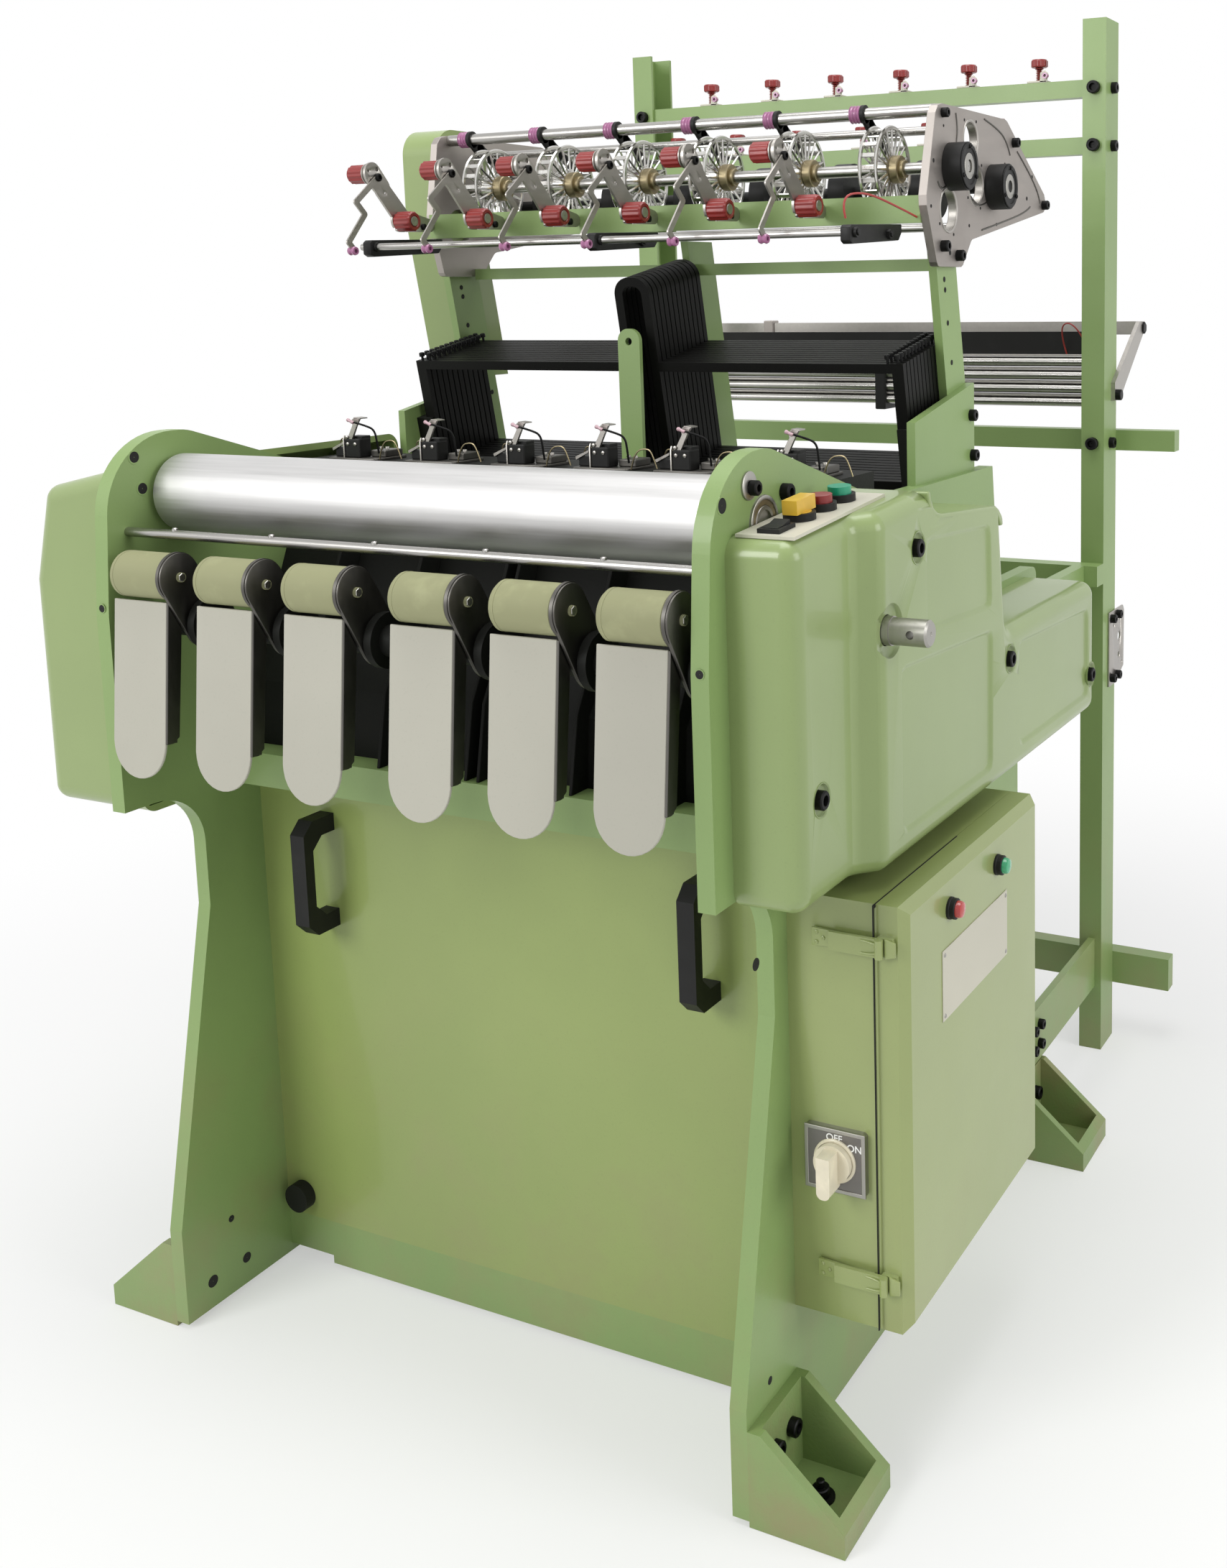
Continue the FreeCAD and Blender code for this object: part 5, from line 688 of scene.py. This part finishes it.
row_of((-282, -168, -46, 65, 168, 296), ("needle_clamp", [clamp, lip, cheek, slip] + studs, stamped,
    "steel"), ("needle_tower", [tower, cap_plate, step], black_plastic, "black_paint", "loom_frame",
    ("weaving_heads",)), ("needle_table", [base, shoe], dark_steel_and_shade, "black_paint", "loom_frame",
    ("weaving_heads",)), ("needle_feeder", [jet], blackened, "steel"), ("needle_wires", [spring, hoop],
    brass, "steel"), ("needle_eye", [bead], pale_ceramic, "red_plastic"))

# ---------------- heald frame screws
FOOT = (BEAM, 922)          # where the heald frames' lean starts
for which, start in (("odd", 0), ("even", 1)):
    studs = [turned(spun("stud", "z", (side * (341.7 - off), BEAM + k * 10 + 4, FOOT[1] + 148), bored(CORE,
        (0, 1.6), (5, 1.6), (5, 3.4), (9, 3.4), (10, 2.6)), 10), (0, *FOOT), "X", 11)
        for k in range(start, 12, 2) for side in (-1, 1) for off in (8, 20)]
    fit(joined("heald_screws_" + which, studs), blackened, "heald_black", "heald_frames_" + which)

# ---------------- screws and bolts
def loose_parts(mesh):
    """The lowest and highest corner of each separate part of a mesh."""
    corners = [tuple(round(c, 6) for c in vertex.co) for vertex in mesh.vertices]
    links = {corner: set() for corner in corners}
    for face in mesh.polygons:
        ring = [corners[v] for v in face.vertices]
        for corner in ring:
            links[corner].update(ring)
    boxes = []
    left = set(links)
    while left:
        island, todo = set(), [min(left)]
        while todo:
            corner = todo.pop()
            if corner not in island:
                island.add(corner)
                todo.extend(links[corner] - island)
        left -= island
        boxes.append([Vector([pick(corner[k] for corner in island) for k in range(3)])
            for pick in (min, max)])
    return sorted(boxes, key=lambda box: tuple(box[0]))


for number, (low, high) in enumerate(loose_parts(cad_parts["machine_screws"].data)):
    span = high - low
    axis = min(range(3), key=lambda k: span[k])
    place = (low + high) / 2
    outward = [1 if place[0] > 0 else -1, -1, 1][axis]
    radius = max(span) / 2 / MM
    tall = span[axis] / MM
    place[axis] -= outward * span[axis] / 2
    place /= MM
    place.y -= FRONT
    steps = 30
    profile = bored(0.5, (0, radius), (tall - 1.2, radius), (tall, radius - 1.2), (tall, radius * 0.56),
        (tall * 0.45, radius * 0.5))
    if axis == 2:           # a floor bolt with its washer, nut and stud end
        steps = 24
        profile = bored(0.5, (0, radius), (2.2, radius), (2.6, 8.6), (tall - 1, 8.6), (tall, 7.4),
            (tall, 4.2), (tall + 6, 4.2), (tall + 7, 3.2))
    one = spun("cap_screw_%d" % (number + 1), "xyz"[axis], tuple(place), mirrored(outward, profile), steps)
    fit(one, blackened, "black_paint", instead=("machine_screws",))

# ---------------- gear cover
GEAR = 460
cover = moved(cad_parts["gear_cover_right"], "gear_cover_shell")
cover.parent = None
cover.matrix_world = Matrix.Identity(4)
pick_up(cover)
edit()
bpy.ops.mesh.remove_doubles(threshold=0.00002)
bpy.ops.object.mode_set(mode="OBJECT")


def tray(outline):
    """A tool with flared sides that presses a soft-edged panel into the cover."""
    levels = [(GEAR - 3.4, -2.6), (GEAR - 3.1, -1.2), (GEAR - 2.1, 0.4), (GEAR - 0.9, 2.0), (GEAR, 4.6),
        (GEAR + 3, 16)]
    tool = sheet_cut("tray", "x", 0, 1, outline)
    pick_up(tool)
    for _ in levels[2:]:
        bpy.ops.object.mode_set(mode="EDIT")
        bpy.ops.mesh.select_mode(type="FACE")
        bpy.ops.mesh.select_all(action="DESELECT")
        bpy.ops.object.mode_set(mode="OBJECT")
        max(tool.data.polygons, key=lambda face: (face.center.x, face.area)).select = True
        bpy.ops.object.mode_set(mode="EDIT")
        bpy.ops.mesh.extrude_region_move(TRANSFORM_OT_translate={"value": (MM, 0, 0)})
        bpy.ops.object.mode_set(mode="OBJECT")
    rings = sorted({round(vertex.co.x, 6) for vertex in tool.data.vertices})
    ways = list(zip(*outline))
    middle = [sum(way) / len(way) for way in ways]
    reach = [max(way) - centre for way, centre in zip(ways, middle)]
    for vertex in tool.data.vertices:
        x, grow = levels[rings.index(round(vertex.co.x, 6))]
        spot = (vertex.co.y / MM - FRONT, vertex.co.z / MM)
        vertex.co = at(x, *(centre + (along - centre) * (1 + grow / far)
            for along, centre, far in zip(spot, middle, reach)))
    return tool


scoop = sheet_cut("scoop", "x", 360, 480, [(243, 990), (244, 955), (247, 942), (253, 933), (263, 927),
    (276, 925), (424, 914), (432, 909), (439, 899), (446, 899), (480, 899), (480, 990)])
trays = [tray(eased(line, 12)) for line in ([(240, 820), (410, 812), (406, 898), (240, 908)], [(176, 634),
    (410, 632), (412, 782), (176, 794)], [(502, 634), (754, 632), (753, 742), (502, 752)])]
carve(cover, [scoop] + trays)
round_off(cover, 32)
even_shading(cover)
fit(cover, green_cover, "green_moulding", instead=("gear_cover_right",))
saddle = sheet_cut("gear_cover_saddle", "x", 370.4, 459.9, [(240, 954), (241, 950), (244, 940), (252, 930),
    (264, 924), (276, 921), (424, 910), (434, 904), (441, 894), (447.6, 894), (446.6, 901), (444, 905),
    (435, 913), (425, 918), (276, 929), (264, 932), (255, 938), (249, 946), (247, 954), (244, 955.2)], 2.6,
    3)
fit(saddle, green_cover, "green_moulding")

for tag, x, y, z in (("upper", 460, 215, 904), ("middle", 460, 470, 740), ("rear", 460, 768, 655),
        ("front", 438, 46, 702)):
    dish = spun("cover_dish_" + tag, "x", (x, y, z), [(-4.9, 9.4), (-4.7, 12.6), (-3, 14.4), (0.1, 15.6),
        (0.5, 16.4), (-0.5, 16.6), (-4, 15.4), (-5.4, 12)], 36, 60)
    fit(dish, green_cover, "green_moulding")

# ---------------- bearings
for side, tag in ((1, "right"), (-1, "left")):
    for name, profile, finish in (("race", bored(12.6, (0, 25.6), (2, 25.6), (2.4, 25), (2.4, 22),
            (0.8, 21.6), (0.8, 16.6), (2.2, 16)), steel), ("shield", ring_line(0.8, 1.5, 21.4, 16.8),
            brass)):
        fit(spun("bearing_%s_%s" % (name, tag), "x", (side * OUTER, 74, 943), mirrored(side, profile), 40),
            finish, "steel")

# ---------------- feeder plate details
for tag, y, z in (("front", *FEED), ("rear", 676, 1270)):
    hub_face = FEEDER_FACE + 22
    fit(spun("hub_lip_" + tag, "x", (hub_face, y, z), bored(15, (-0.2, 25.5), (1.6, 25.5), (2, 25), (2, 21),
        (0.8, 20.4)), 36), black_plastic, "black_plastic")
    fit(spun("hub_ring_" + tag, "x", (hub_face, y, z), bored(7.2, (-0.2, 14.6), (1, 14.6), (1.4, 14))),
        steel, "steel")
    for k in range(3):
        angle = math.radians(90 + 120 * k)
        pin = spun("hub_screw_%s_%d" % (tag, k + 1), "x", (hub_face, y + 22 * math.cos(angle), z
            + 22 * math.sin(angle)), bored(CORE, (0.5, 2.6), (3, 2.6), (3.5, 2), (3.5, 1.2), (2, 1)), 16)
        fit(pin, blackened, "black_paint")
plate_line = [(610.7, 1206.4), (865.3, 1246.9), (870, 1250), (872, 1255), (872, 1263.4), (868.1, 1270.3),
    (729.8, 1351.8), (721.6, 1354), (520, 1354), (508, 1351), (500.6, 1342.5), (473.7, 1251.7),
    (474.4, 1240.6), (501.9, 1178.8), (505, 1175), (509.2, 1174), (574.5, 1174), (580.4, 1176.5),
    (606.1, 1204)]
big_holes = [(606, 1320, 21), (537, 1238, 23), (622, 1270, 22)]
for tag, x, front in (("right", FEEDER_FACE - 10, 0), ("left", -342, 484.8)):
    wall = sheet_cut("feeder_wall_" + tag, "x", x, x + 10, [(max(y, front), z) for y, z in plate_line])
    carve(wall, [bar("bore", "x", (x - 4, y, z), r, 18, 48) for y, z, r in big_holes])
    ease(wall, 1.0, 2, 40)
    fit(wall, plate_metal, "aluminium", instead=("feeder_plate_" + tag,))
for k, (y, z, r) in enumerate(big_holes):
    lip = spun("hole_lip_%d" % (k + 1), "x", (FEEDER_FACE, y, z), bored(r - 0.2, (-9, r + 0.6),
        (0.3, r + 0.6), (0.9, r + 1.6), (0.9, r + 3), (-0.2, r + 3.6)), 48)
    fit(lip, stamped, "aluminium")
    # painted shade in the screw holes round each big hole
    hole_shade_dots("hole_dots_%d" % (k + 1), [(FEEDER_FACE, y + (r + 8) * math.cos(a), z + (r + 8) * math.sin(a),
        1.8) for a in (0.9, 2.3, 3.7, 5.2)], 10)
# thin dark wires laid on the plate's face along its grooves: painted shade in the grooves
grooves = [bent_wire("groove", [(FEEDER_FACE + 0.1, y, z) for y, z in run], 1.1) for run in ([(560, 1347),
    (566, 1330), (560, 1312), (562, 1296), (560, 1280)], [(650, 1348), (700, 1340), (728, 1326),
    (738, 1312)], [(764, 1318), (800, 1300), (846, 1270), (850, 1258)], [(640, 1218), (740, 1234),
    (800, 1246), (812, 1252)], [(505, 1268), (510, 1262), (520, 1260), (530, 1264)], [(604, 1256),
    (620, 1248), (640, 1246), (660, 1252)])]
fit(joined("plate_groove_shade", grooves), dark_steel_and_shade, "aluminium")
parts = [spun("cap", "x", (FEEDER_FACE, y, z), bored(0.5, (-0.2, r), (r * 1.2, r), (r * 1.4, r * 0.85),
    (r * 1.4, r * 0.5), (r * 0.8, r * 0.45)), 20) for y, z, r in ((521, 1344, 5.5), (750, 1328, 6),
    (862, 1256, 6), (517, 1197, 6.5), (562, 1187, 6.5))]
fit(joined("plate_screws", parts), blackened, "black_paint")
# painted shade in the plate's small holes
hole_shade_dots("plate_small_holes", [(FEEDER_FACE, *spot) for spot in ((494, 1290, 2.5), (486, 1240, 2),
    (540, 1190, 3), (524, 1330, 1.6), (800, 1262, 2.6), (820, 1290, 2.6), (720, 1300, 2), (690, 1226, 2),
    (600, 1222, 2), (726, 1250, 3))], 12)

# ---------------- cabinet fittings
DOOR = 494.3                # outer face of the cabinet door
for tag, y, lens in (("red", 204, red_lens), ("green", 333, green_lens)):
    ring = spun("lamp_ring_" + tag, "x", (DOOR, y, 553), bored(6, (0, 11), (2.5, 11), (3, 10.4),
        (7.5, 10.4), (8.2, 9.6)))
    fit(ring, black_plastic, "black_plastic", "cabinet_door", ("indicator_lamps",))
    glass = spun("lamp_lens_" + tag, "x", (DOOR, y, 553), [(6, CORE), (6, 8.4), (11.5, 8.4), (13.6, 7.4),
        (14.6, 4.5), (14.9, CORE)], 28)
    fit(glass, lens, tag + "_plastic", "cabinet_door")
gasket = sheet_cut("door_gasket", "x", 462.4, 463.5, [(94.5, 166.5), (96.4, 166.5), (96.4, 587), (300, 588),
    (300, 590.5), (95, 590.5), (94.5, 590)])
fit(gasket, black_plastic, "black_plastic", "cabinet_door")
name_plate = sheet_cut("blank_name_plate", "x", DOOR - 0.2, DOOR + 1, [(183, 444), (361, 444), (361, 516),
    (183, 516)], 0.35, 1)
fit(name_plate, white_plate, "white_plate", "cabinet_door")
rivets = repeated("name_plate_rivets", "x", [(DOOR + 0.9, y, z) for y in (188, 356) for z in (449, 511)],
    [(0, 0.3), (0, 2.3), (0.7, 2), (1.1, 1.2), (1.2, 0.3)], 16)
fit(rivets, steel, "steel", "cabinet_door")

face = block("switch_face", (391.5, 93.1, 302.5), (448.5, 94.4, 359.5), 0.3, 1)
fit(face, bare_metal("switch_face_foil", (0.20, 0.19, 0.18), 0.42, None, 0.2, 90), "black_plastic")
edge = sheet_cut("switch_frame", "y", 92.4, 95, [(388, 299), (452, 299), (452, 363), (388, 363)])
carve(edge, [block("window", (392, 90, 303), (448, 98, 359))])
fit(ease(edge, 0.5, 2), steel, "aluminium")
letters = []
for word, x, z in (("OFF", 411, 351), ("ON", 433, 344)):
    put_down()
    bpy.ops.object.text_add()
    text = bpy.context.object
    text.data.body = word
    text.data.size = 0.0098
    text.data.extrude = 0.0003
    text.data.offset = 0.00012
    text.rotation_euler = (math.radians(90), 0, 0)
    text.location = at(x, 93.1, z)
    pick_up(text)
    bpy.ops.object.convert(target="MESH")
    letters.append(settle(bpy.context.object, "letters_" + word))
fit(joined("switch_letters", letters), letter_white, "white_plate")
collar = spun("switch_collar", "y", (420, 94.2, 331), bored(19.5, (-3.2, 21), (-2.4, 22), (0, 22.4)), 48)
fit(collar, cream, "cream_plastic")

for tag, z in (("upper", 551), ("lower", 216)):
    keeper = sheet_cut("latch_keeper_" + tag, "y", 92.6, 95, [(475, z - 10), (486, z - 7), (486, z + 7),
        (475, z + 10)], 0.8)
    fit(keeper, green_cabinet, "green_paint", "cabinet_door")
    hook = bent_wire("latch_hook_" + tag, [(452, 91, z - 6), (466, 89.6, z - 6), (472, 89.6, z),
        (466, 89.6, z + 6), (452, 91, z + 6)], 1.3)
    fit(hook, green_cabinet, "green_paint", "latch_" + tag)
    base = [sheet_cut("foot", "y", 95, 98.5, [(399, z - 9), (440, z - 7), (440, z + 7), (399, z + 9)], 0.8),
        repeated("rivets", "y", [(404, 95.2, z + 5), (404, 95.2, z - 5), (411, 95.2, z)], bored(0.3,
        (0, 2.4), (-1, 2), (-1.5, 1)), 14)]
    fit(joined("latch_base_" + tag, base), green_cabinet, "green_paint")

# ---------------- outlets
bow = [(-36.6 * math.cos(k * math.pi / 16), 698 - 36.6 * math.sin(k * math.pi / 16)) for k in range(1, 16)]
tongue = sheet_cut("tongue", "y", -22, -19, [(-37, 845), (-37, 698), *bow, (37, 698), (37, 845)], 0.6, 1)
flange = sheet_cut("flange", "x", 37, 39.5, [(-22, 845), (-6, 845), (-4, 838), (-6, 706), (-14, 700),
    (-22, 700)], 0.5, 1)
hem = block("hem", (34, -21, 700), (37.4, -7, 843), 0.5, 1)
tab = bar("tab", "y", (37, -20, 702), 2.4, 8)
for part in (tongue, flange, hem, tab):
    turned(part, (0, -20, 844), "X", -5.7)
ROLLER = (-18, 870)
for i, x in enumerate((-298, -182, -66, 66, 182, 298)):
    tag = "_%d" % (i + 1)
    fit(moved(tongue, "chute" + tag, x - 3, -9), grey_sheet, "grey_sheet", instead=("tape_chutes",))
    # the flange, hem and tab are the chute's own grey sheet, given the darker steel finish as painted shade
    # on the bent-back edge
    fit(copies("chute_edge" + tag, (flange, hem, tab), x - 3, -9), dark_steel_and_shade, "grey_sheet",
        instead=("tape_chutes",))
    cheek = [sheet_cut("cheek", "x", x + 37.4, x + 41.4, wrap([(*ROLLER, 25), (12, 818, 26)], 40), 0.8),
        spun("rim", "x", (x + 37.4, *ROLLER), bored(24.4, (-1.6, 25.8), (2, 25.8)), 44)]
    fit(joined("outlet_cheek" + tag, cheek), dark_steel_and_shade, "aluminium", instead=("outlet_brackets",))
    grip = spun("grip", "x", (x + 41, 12, 818), bored(16.2, (0, 25), (6, 25), (7, 24)), 40)
    fit(grip, black_paint, "black_paint")
    bolt = spun("outlet_bolt" + tag, "x", (x + 41, *ROLLER), bored(CORE, (0, 4.6), (3.4, 4.6), (4, 4)), 6,
        10)
    fit(bolt, steel, "aluminium")
    end = spun("outlet_end" + tag, "x", (x - 35.4, *ROLLER), bored(CORE, (0, 17), (2, 21.4), (5, 23.6),
        (9, 24.3)), 40, 60)
    fit(end, olive, "rubber_olive", "outlet_roller" + tag)
clear(tongue, flange, hem, tab)
lugs = repeated("guide_rod_lugs", "z", [(x, 4, 913) for x in (-284, -151, -19, 114, 245)], bored(CORE,
    (0, 3.2), (2.4, 3), (3.4, 2)), 14)
fit(lugs, chrome, "aluminium")

# ---------------- side plate threads, with painted shade in the tapped holes
in_side = [(-INNER, 18.6, 986, 6), (-INNER, 26, 952, 6), (-INNER, 16, 654, 4), (-INNER, 37, 37, 7),
    (-INNER, 87, 37, 6), (-INNER, 69, 96, 4), (OUTER, 2, 968, 7), (OUTER, 40, 540, 6), (OUTER, 46, 120, 4)]
in_front = [(361, -28, 826), (-361, -28, 832)]
# near-black discs in the tapped holes: painted shade
hole_shades = [spun("thread", "x", spot, ring_line(-0.3, 0.2, r), 20) for *spot, r in in_side]
hole_shades += [spun("thread", "y", spot, ring_line(-0.3, 0.3, 4), 20) for spot in in_front]
fit(joined("side_plate_hole_shade", hole_shades), hole_shade, "black_paint")
rings = [spun("ring", "x", spot, bored(r, (-0.2, r + 1.8), (0.4, r + 1.6)), 24) for *spot, r in in_side[:2]
    + in_side[6:7]]
rings += [spun("ring", "y", spot, bored(4, (0.2, 5), (-0.4, 5)), 24) for spot in in_front]
fit(joined("thread_rings", rings), green_paint, "green_paint")
washer = spun("bearing_washer", "x", (OUTER, 48, 980), bored(5, (-0.2, 13), (1.8, 13), (2.4, 12)))
fit(washer, steel, "steel")
bolts = [spun("bolt", "x", spot, socket_line(r, r, r + 1, r - 1, r * 0.5, r * 0.6, r * 0.45), 22)
    for spot, r in (((OUTER + 2, 50, 978), 7), ((OUTER, 113, 967), 8))]
fit(joined("bearing_bolts", bolts), blackened, "black_paint")

# ---------------- inner apron
apron = sheet_cut("inner_apron", "x", -INNER, INNER, [(132, 650), (136, 650), (142, 720), (196, 790),
    (244, 905), (300, 921), (300, 924), (242, 909), (192, 792), (138, 722)])
fit(apron, black_paint, "black_paint")
ribs = [sheet_cut("rib", "x", x - 2, x + 2, [(104, 650), (134, 650), (141, 722), (192, 790), (236, 900),
    (196, 880), (160, 800), (120, 730)], 0.6, 1) for x in (-240, -124, -8, 8, 124, 240)]
fit(joined("apron_ribs", ribs), black_paint, "black_paint")

# ---------------- drop wire unit
parts = []
for side in (-1, 1):
    parts.append(sheet_cut("end", "x", side * 342, side * 356, [(1105, 962), (1109, 958), (1167, 958),
        (1171, 962), (1171, 1050), (1167, 1054), (1125, 1054), (1105, 1036)], 1.5))
    parts.append(repeated("screws", "x", [(side * 356, y, z) for y, z in ((1114, 970), (1162, 1046),
        (1118, 1030))], socket_line(4, 2.4, 3, 3.2, 1.8, 1.4, 1.6, side), 16))
parts.append(block("clip", (-9, 1127, 962), (9, 1169, 1049), 2))
parts.append(block("back", (-342, 1146, 1047), (342, 1150, 1083), 0.6))
fit(joined("drop_wire_ends", parts), black_plastic, "black_paint", instead=("drop_wire_unit",))
tubes = repeated("drop_wire_tubes", "x", [(0, y, z) for y in (1158, 1138) for z in (978, 998, 1018, 1038)],
    bored(0.5, (-343, 7), (343, 7)), 24)
fit(tubes, chrome, "aluminium", instead=("drop_wire_unit",))
strips = [block("strip", (-341, 1133, z), (341, 1160, z + 2.8), 0.4, 1)
    for z in (986.4, 1006.4, 1026.4, 1046.4)]
fit(joined("drop_wire_strips", strips), stamped, "steel")
wire = bent_wire("stop_wire", [(349, 1112, 1053), (340, 1104, 1078), (322, 1104, 1098), (304, 1116, 1094),
    (300, 1132, 1070), (302, 1146, 1050)], 1.2)
fit(wire, red_wire, "red_plastic")
clamps = [block("hook", (x - 9, 1222, 1072), (x + 9, 1243, 1100), 1.5) for x in (-250, 60, 330)]
fit(joined("drop_bar_clamps", clamps), plate_metal, "aluminium")
studs = []
for side in (-1, 1):
    for x, y, z, r, steps, angle in ((390, 1233, 1086, 9, 6, 10), (396, 1092, 993, 8, 20, 35)):
        studs.append(spun("stud", "x", (side * x, y, z), bored(CORE, (0, r), (side * (r - 1), r),
            (side * r, r - 1)), steps, angle))
fit(joined("drop_bar_screws", studs), blackened, "black_paint")

# ---------------- terminal bracket
bracket = sheet_cut("creel_bracket", "x", 390, 393, [(1074, 560), (1104, 560), (1148, 578), (1150, 664),
    (1144, 672), (1074, 672)], 0.6)
carve(bracket, [bar("bore", "x", (386, y, z), r, 12) for y, z, r in ((1122, 600, 5), (1124, 628, 8),
    (1128, 654, 3), (1096, 650, 3), (1138, 586, 3))])
fit(bracket, stamped, "steel")
screws = repeated("creel_bracket_screws", "x", [(393, y, z) for y, z in ((1084, 662), (1084, 572),
    (1112, 664), (1110, 572))], socket_line(6.5, 7, 8, 5.4, 3, 4, 2.8), 18)
fit(screws, blackened, "black_paint")

# ---------------- upright screws
def on_upright(back, up):
    """A place behind the front line of the leaning uprights."""
    return 578 - (up - 894) * math.tan(LEAN) + back, up


holes = [(x, *on_upright(back, up), 3.2) for x in (-342, INNER, -INNER) for up, back in ((1196, 12),
    (1196, 44), (1160, 20), (1148, 20), (1110, 20), (1064, 22), (1018, 46), (984, 20), (956, 20))
    if x != INNER or up > 1050]
holes += [(x, *on_upright(40, up), 2.6) for x in (-5, 5) for up in (1150, 1020, 990)]
# painted shade in the holes of the uprights
hole_shade_dots("upright_holes", holes, 14)
small = socket_line(7, 7, 8, 6, 3.4, 4, 3)
bolts = [repeated("bolts", "x", [(380, y, z) for y in (770, 796) for z in (124, 152)], small, 22)]
for side in (-1, 1):
    for x, spots, profile in ((362, ((600, 1000), (604, 952)), small), (390, ((1080, 1427), (1080, 1347),
            (1080, 924)), socket_line(8, 7, 8, 7, 3.6, 4, 3.2))):
        bolts.append(repeated("bolts", "x", [(side * x, *spot) for spot in spots],
            mirrored(side, profile), 22))
fit(joined("frame_bolts", bolts), blackened, "black_paint")

# ---------------- stop rod switches
parts = []
for x in (-318, 6, 324):
    parts.append(sheet_cut("switch", "x", x - 6, x + 6, [(346, 1200), (352, 1197), (470, 1203), (478, 1212),
        (478, 1221), (350, 1217), (346, 1214)], 1.2))
    for y, sides in ((356, 20), (440, 6)):
        parts.append(spun("nut", "x", (x + 6, y, 1209), bored(CORE, (0, 5.5), (4, 5.5), (4, 3), (6, 3)),
            sides, 20))
fit(joined("stop_rod_switches", parts), black_plastic, "black_plastic", instead=("stop_motion_rail",))
rod = spun("stop_rod", "x", (0, 356, 1209), bored(CORE, (-334, 3.6), (-333.6, 4.1), (333.6, 4.1),
    (334, 3.6)), 20)
fit(rod, chrome, "aluminium")
wire = bent_wire("switch_wire", [(318, 360, 1224), (316, 352, 1246), (330, 380, 1252), (342, 430, 1240),
    (348, 480, 1228)], 1.2)
fit(wire, red_wire, "red_plastic")

# ---------------- floor, light and camera
put_down()
bpy.ops.mesh.primitive_plane_add(size=60, location=(0, 0, -0.0005))
floor = settle(bpy.context.object, "studio_floor")
tiles = Finish("studio_floor_paint", (0.9, 0.9, 0.9), 0.9)
away = tiles.make("ShaderNodeVectorMath", {"operation": "LENGTH"}, {0: tiles.places})
fade = tiles.ramp(Amount(tiles, away.outputs["Value"]), 0.7, 2.0)
glow = tiles.make("ShaderNodeEmission", {}, {"Color": (1, 1, 1, 1), "Strength": 1.0})
both = tiles.make("ShaderNodeMixShader", {}, {0: tiles.in_view() * (0.45 + 0.55 * fade),
    1: tiles.shader.outputs[0], 2: glow.outputs[0]})
tiles.tree.links.new(both.outputs[0], tiles.tree.nodes["Material Output"].inputs[0])
floor.data.materials.append(tiles.material)

world = bpy.data.worlds.new("studio")
bpy.context.scene.world = world
world.use_nodes = True
sky = Nodes(world.node_tree)
soft, white = (sky.make("ShaderNodeBackground", {}, {0: (1, 1, 1, 1), 1: strength})
    for strength in (0.42, 1.0))
both = sky.make("ShaderNodeMixShader", {}, {0: sky.in_view(), 1: soft.outputs[0], 2: white.outputs[0]})
sky.tree.links.new(both.outputs[0], sky.tree.nodes["World Output"].inputs[0])


def soft_box(name, spot, aim, size, power):
    lamp = bpy.data.lights.new(name, "AREA")
    lamp.shape = "SQUARE"
    lamp.size = size
    lamp.energy = power
    holder = added(name, lamp)
    holder.location = spot
    way = Vector(aim) - Vector(spot)
    holder.rotation_euler = way.to_track_quat("-Z", "Y").to_euler()


soft_box("window_left", (-1.7, -3.9, 2.6), (0, -0.3, 0.7), 2.0, 100)
soft_box("window_right", (3.8, -0.3, 1.9), (0.2, 0, 0.8), 2.0, 50)
soft_box("ceiling", (0.1, -0.3, 3.9), (0, -0.1, 0.8), 2.2, 62)

PHOTO_WIDE, PHOTO_TALL = 1708, 2182
FOCAL = 2234.44             # these three are in the photo's pixels
AXIS_ACROSS, AXIS_DOWN = 1225.69, 720.09
lens = bpy.data.cameras.new("loom_camera")
lens.sensor_fit = "HORIZONTAL"
lens.sensor_width = 36
lens.lens = FOCAL / PHOTO_WIDE * lens.sensor_width
lens.shift_x = (PHOTO_WIDE / 2 - AXIS_ACROSS) / PHOTO_WIDE
lens.shift_y = (AXIS_DOWN - PHOTO_TALL / 2) / PHOTO_WIDE
camera = added("loom_camera", lens)
bpy.context.scene.camera = camera
right = Vector((0.90797, 0.418802, -0.013966))
up = Vector((-0.046265, 0.133316, 0.989993))
back = Vector((0.416473, -0.898238, 0.140423))
turn = Matrix((right, up, back)).transposed().to_4x4()
camera.matrix_world = Matrix.Translation(at(1066.03, -1176.77, 1149.26)) @ turn

bpy.context.scene.view_settings.view_transform = "Standard"
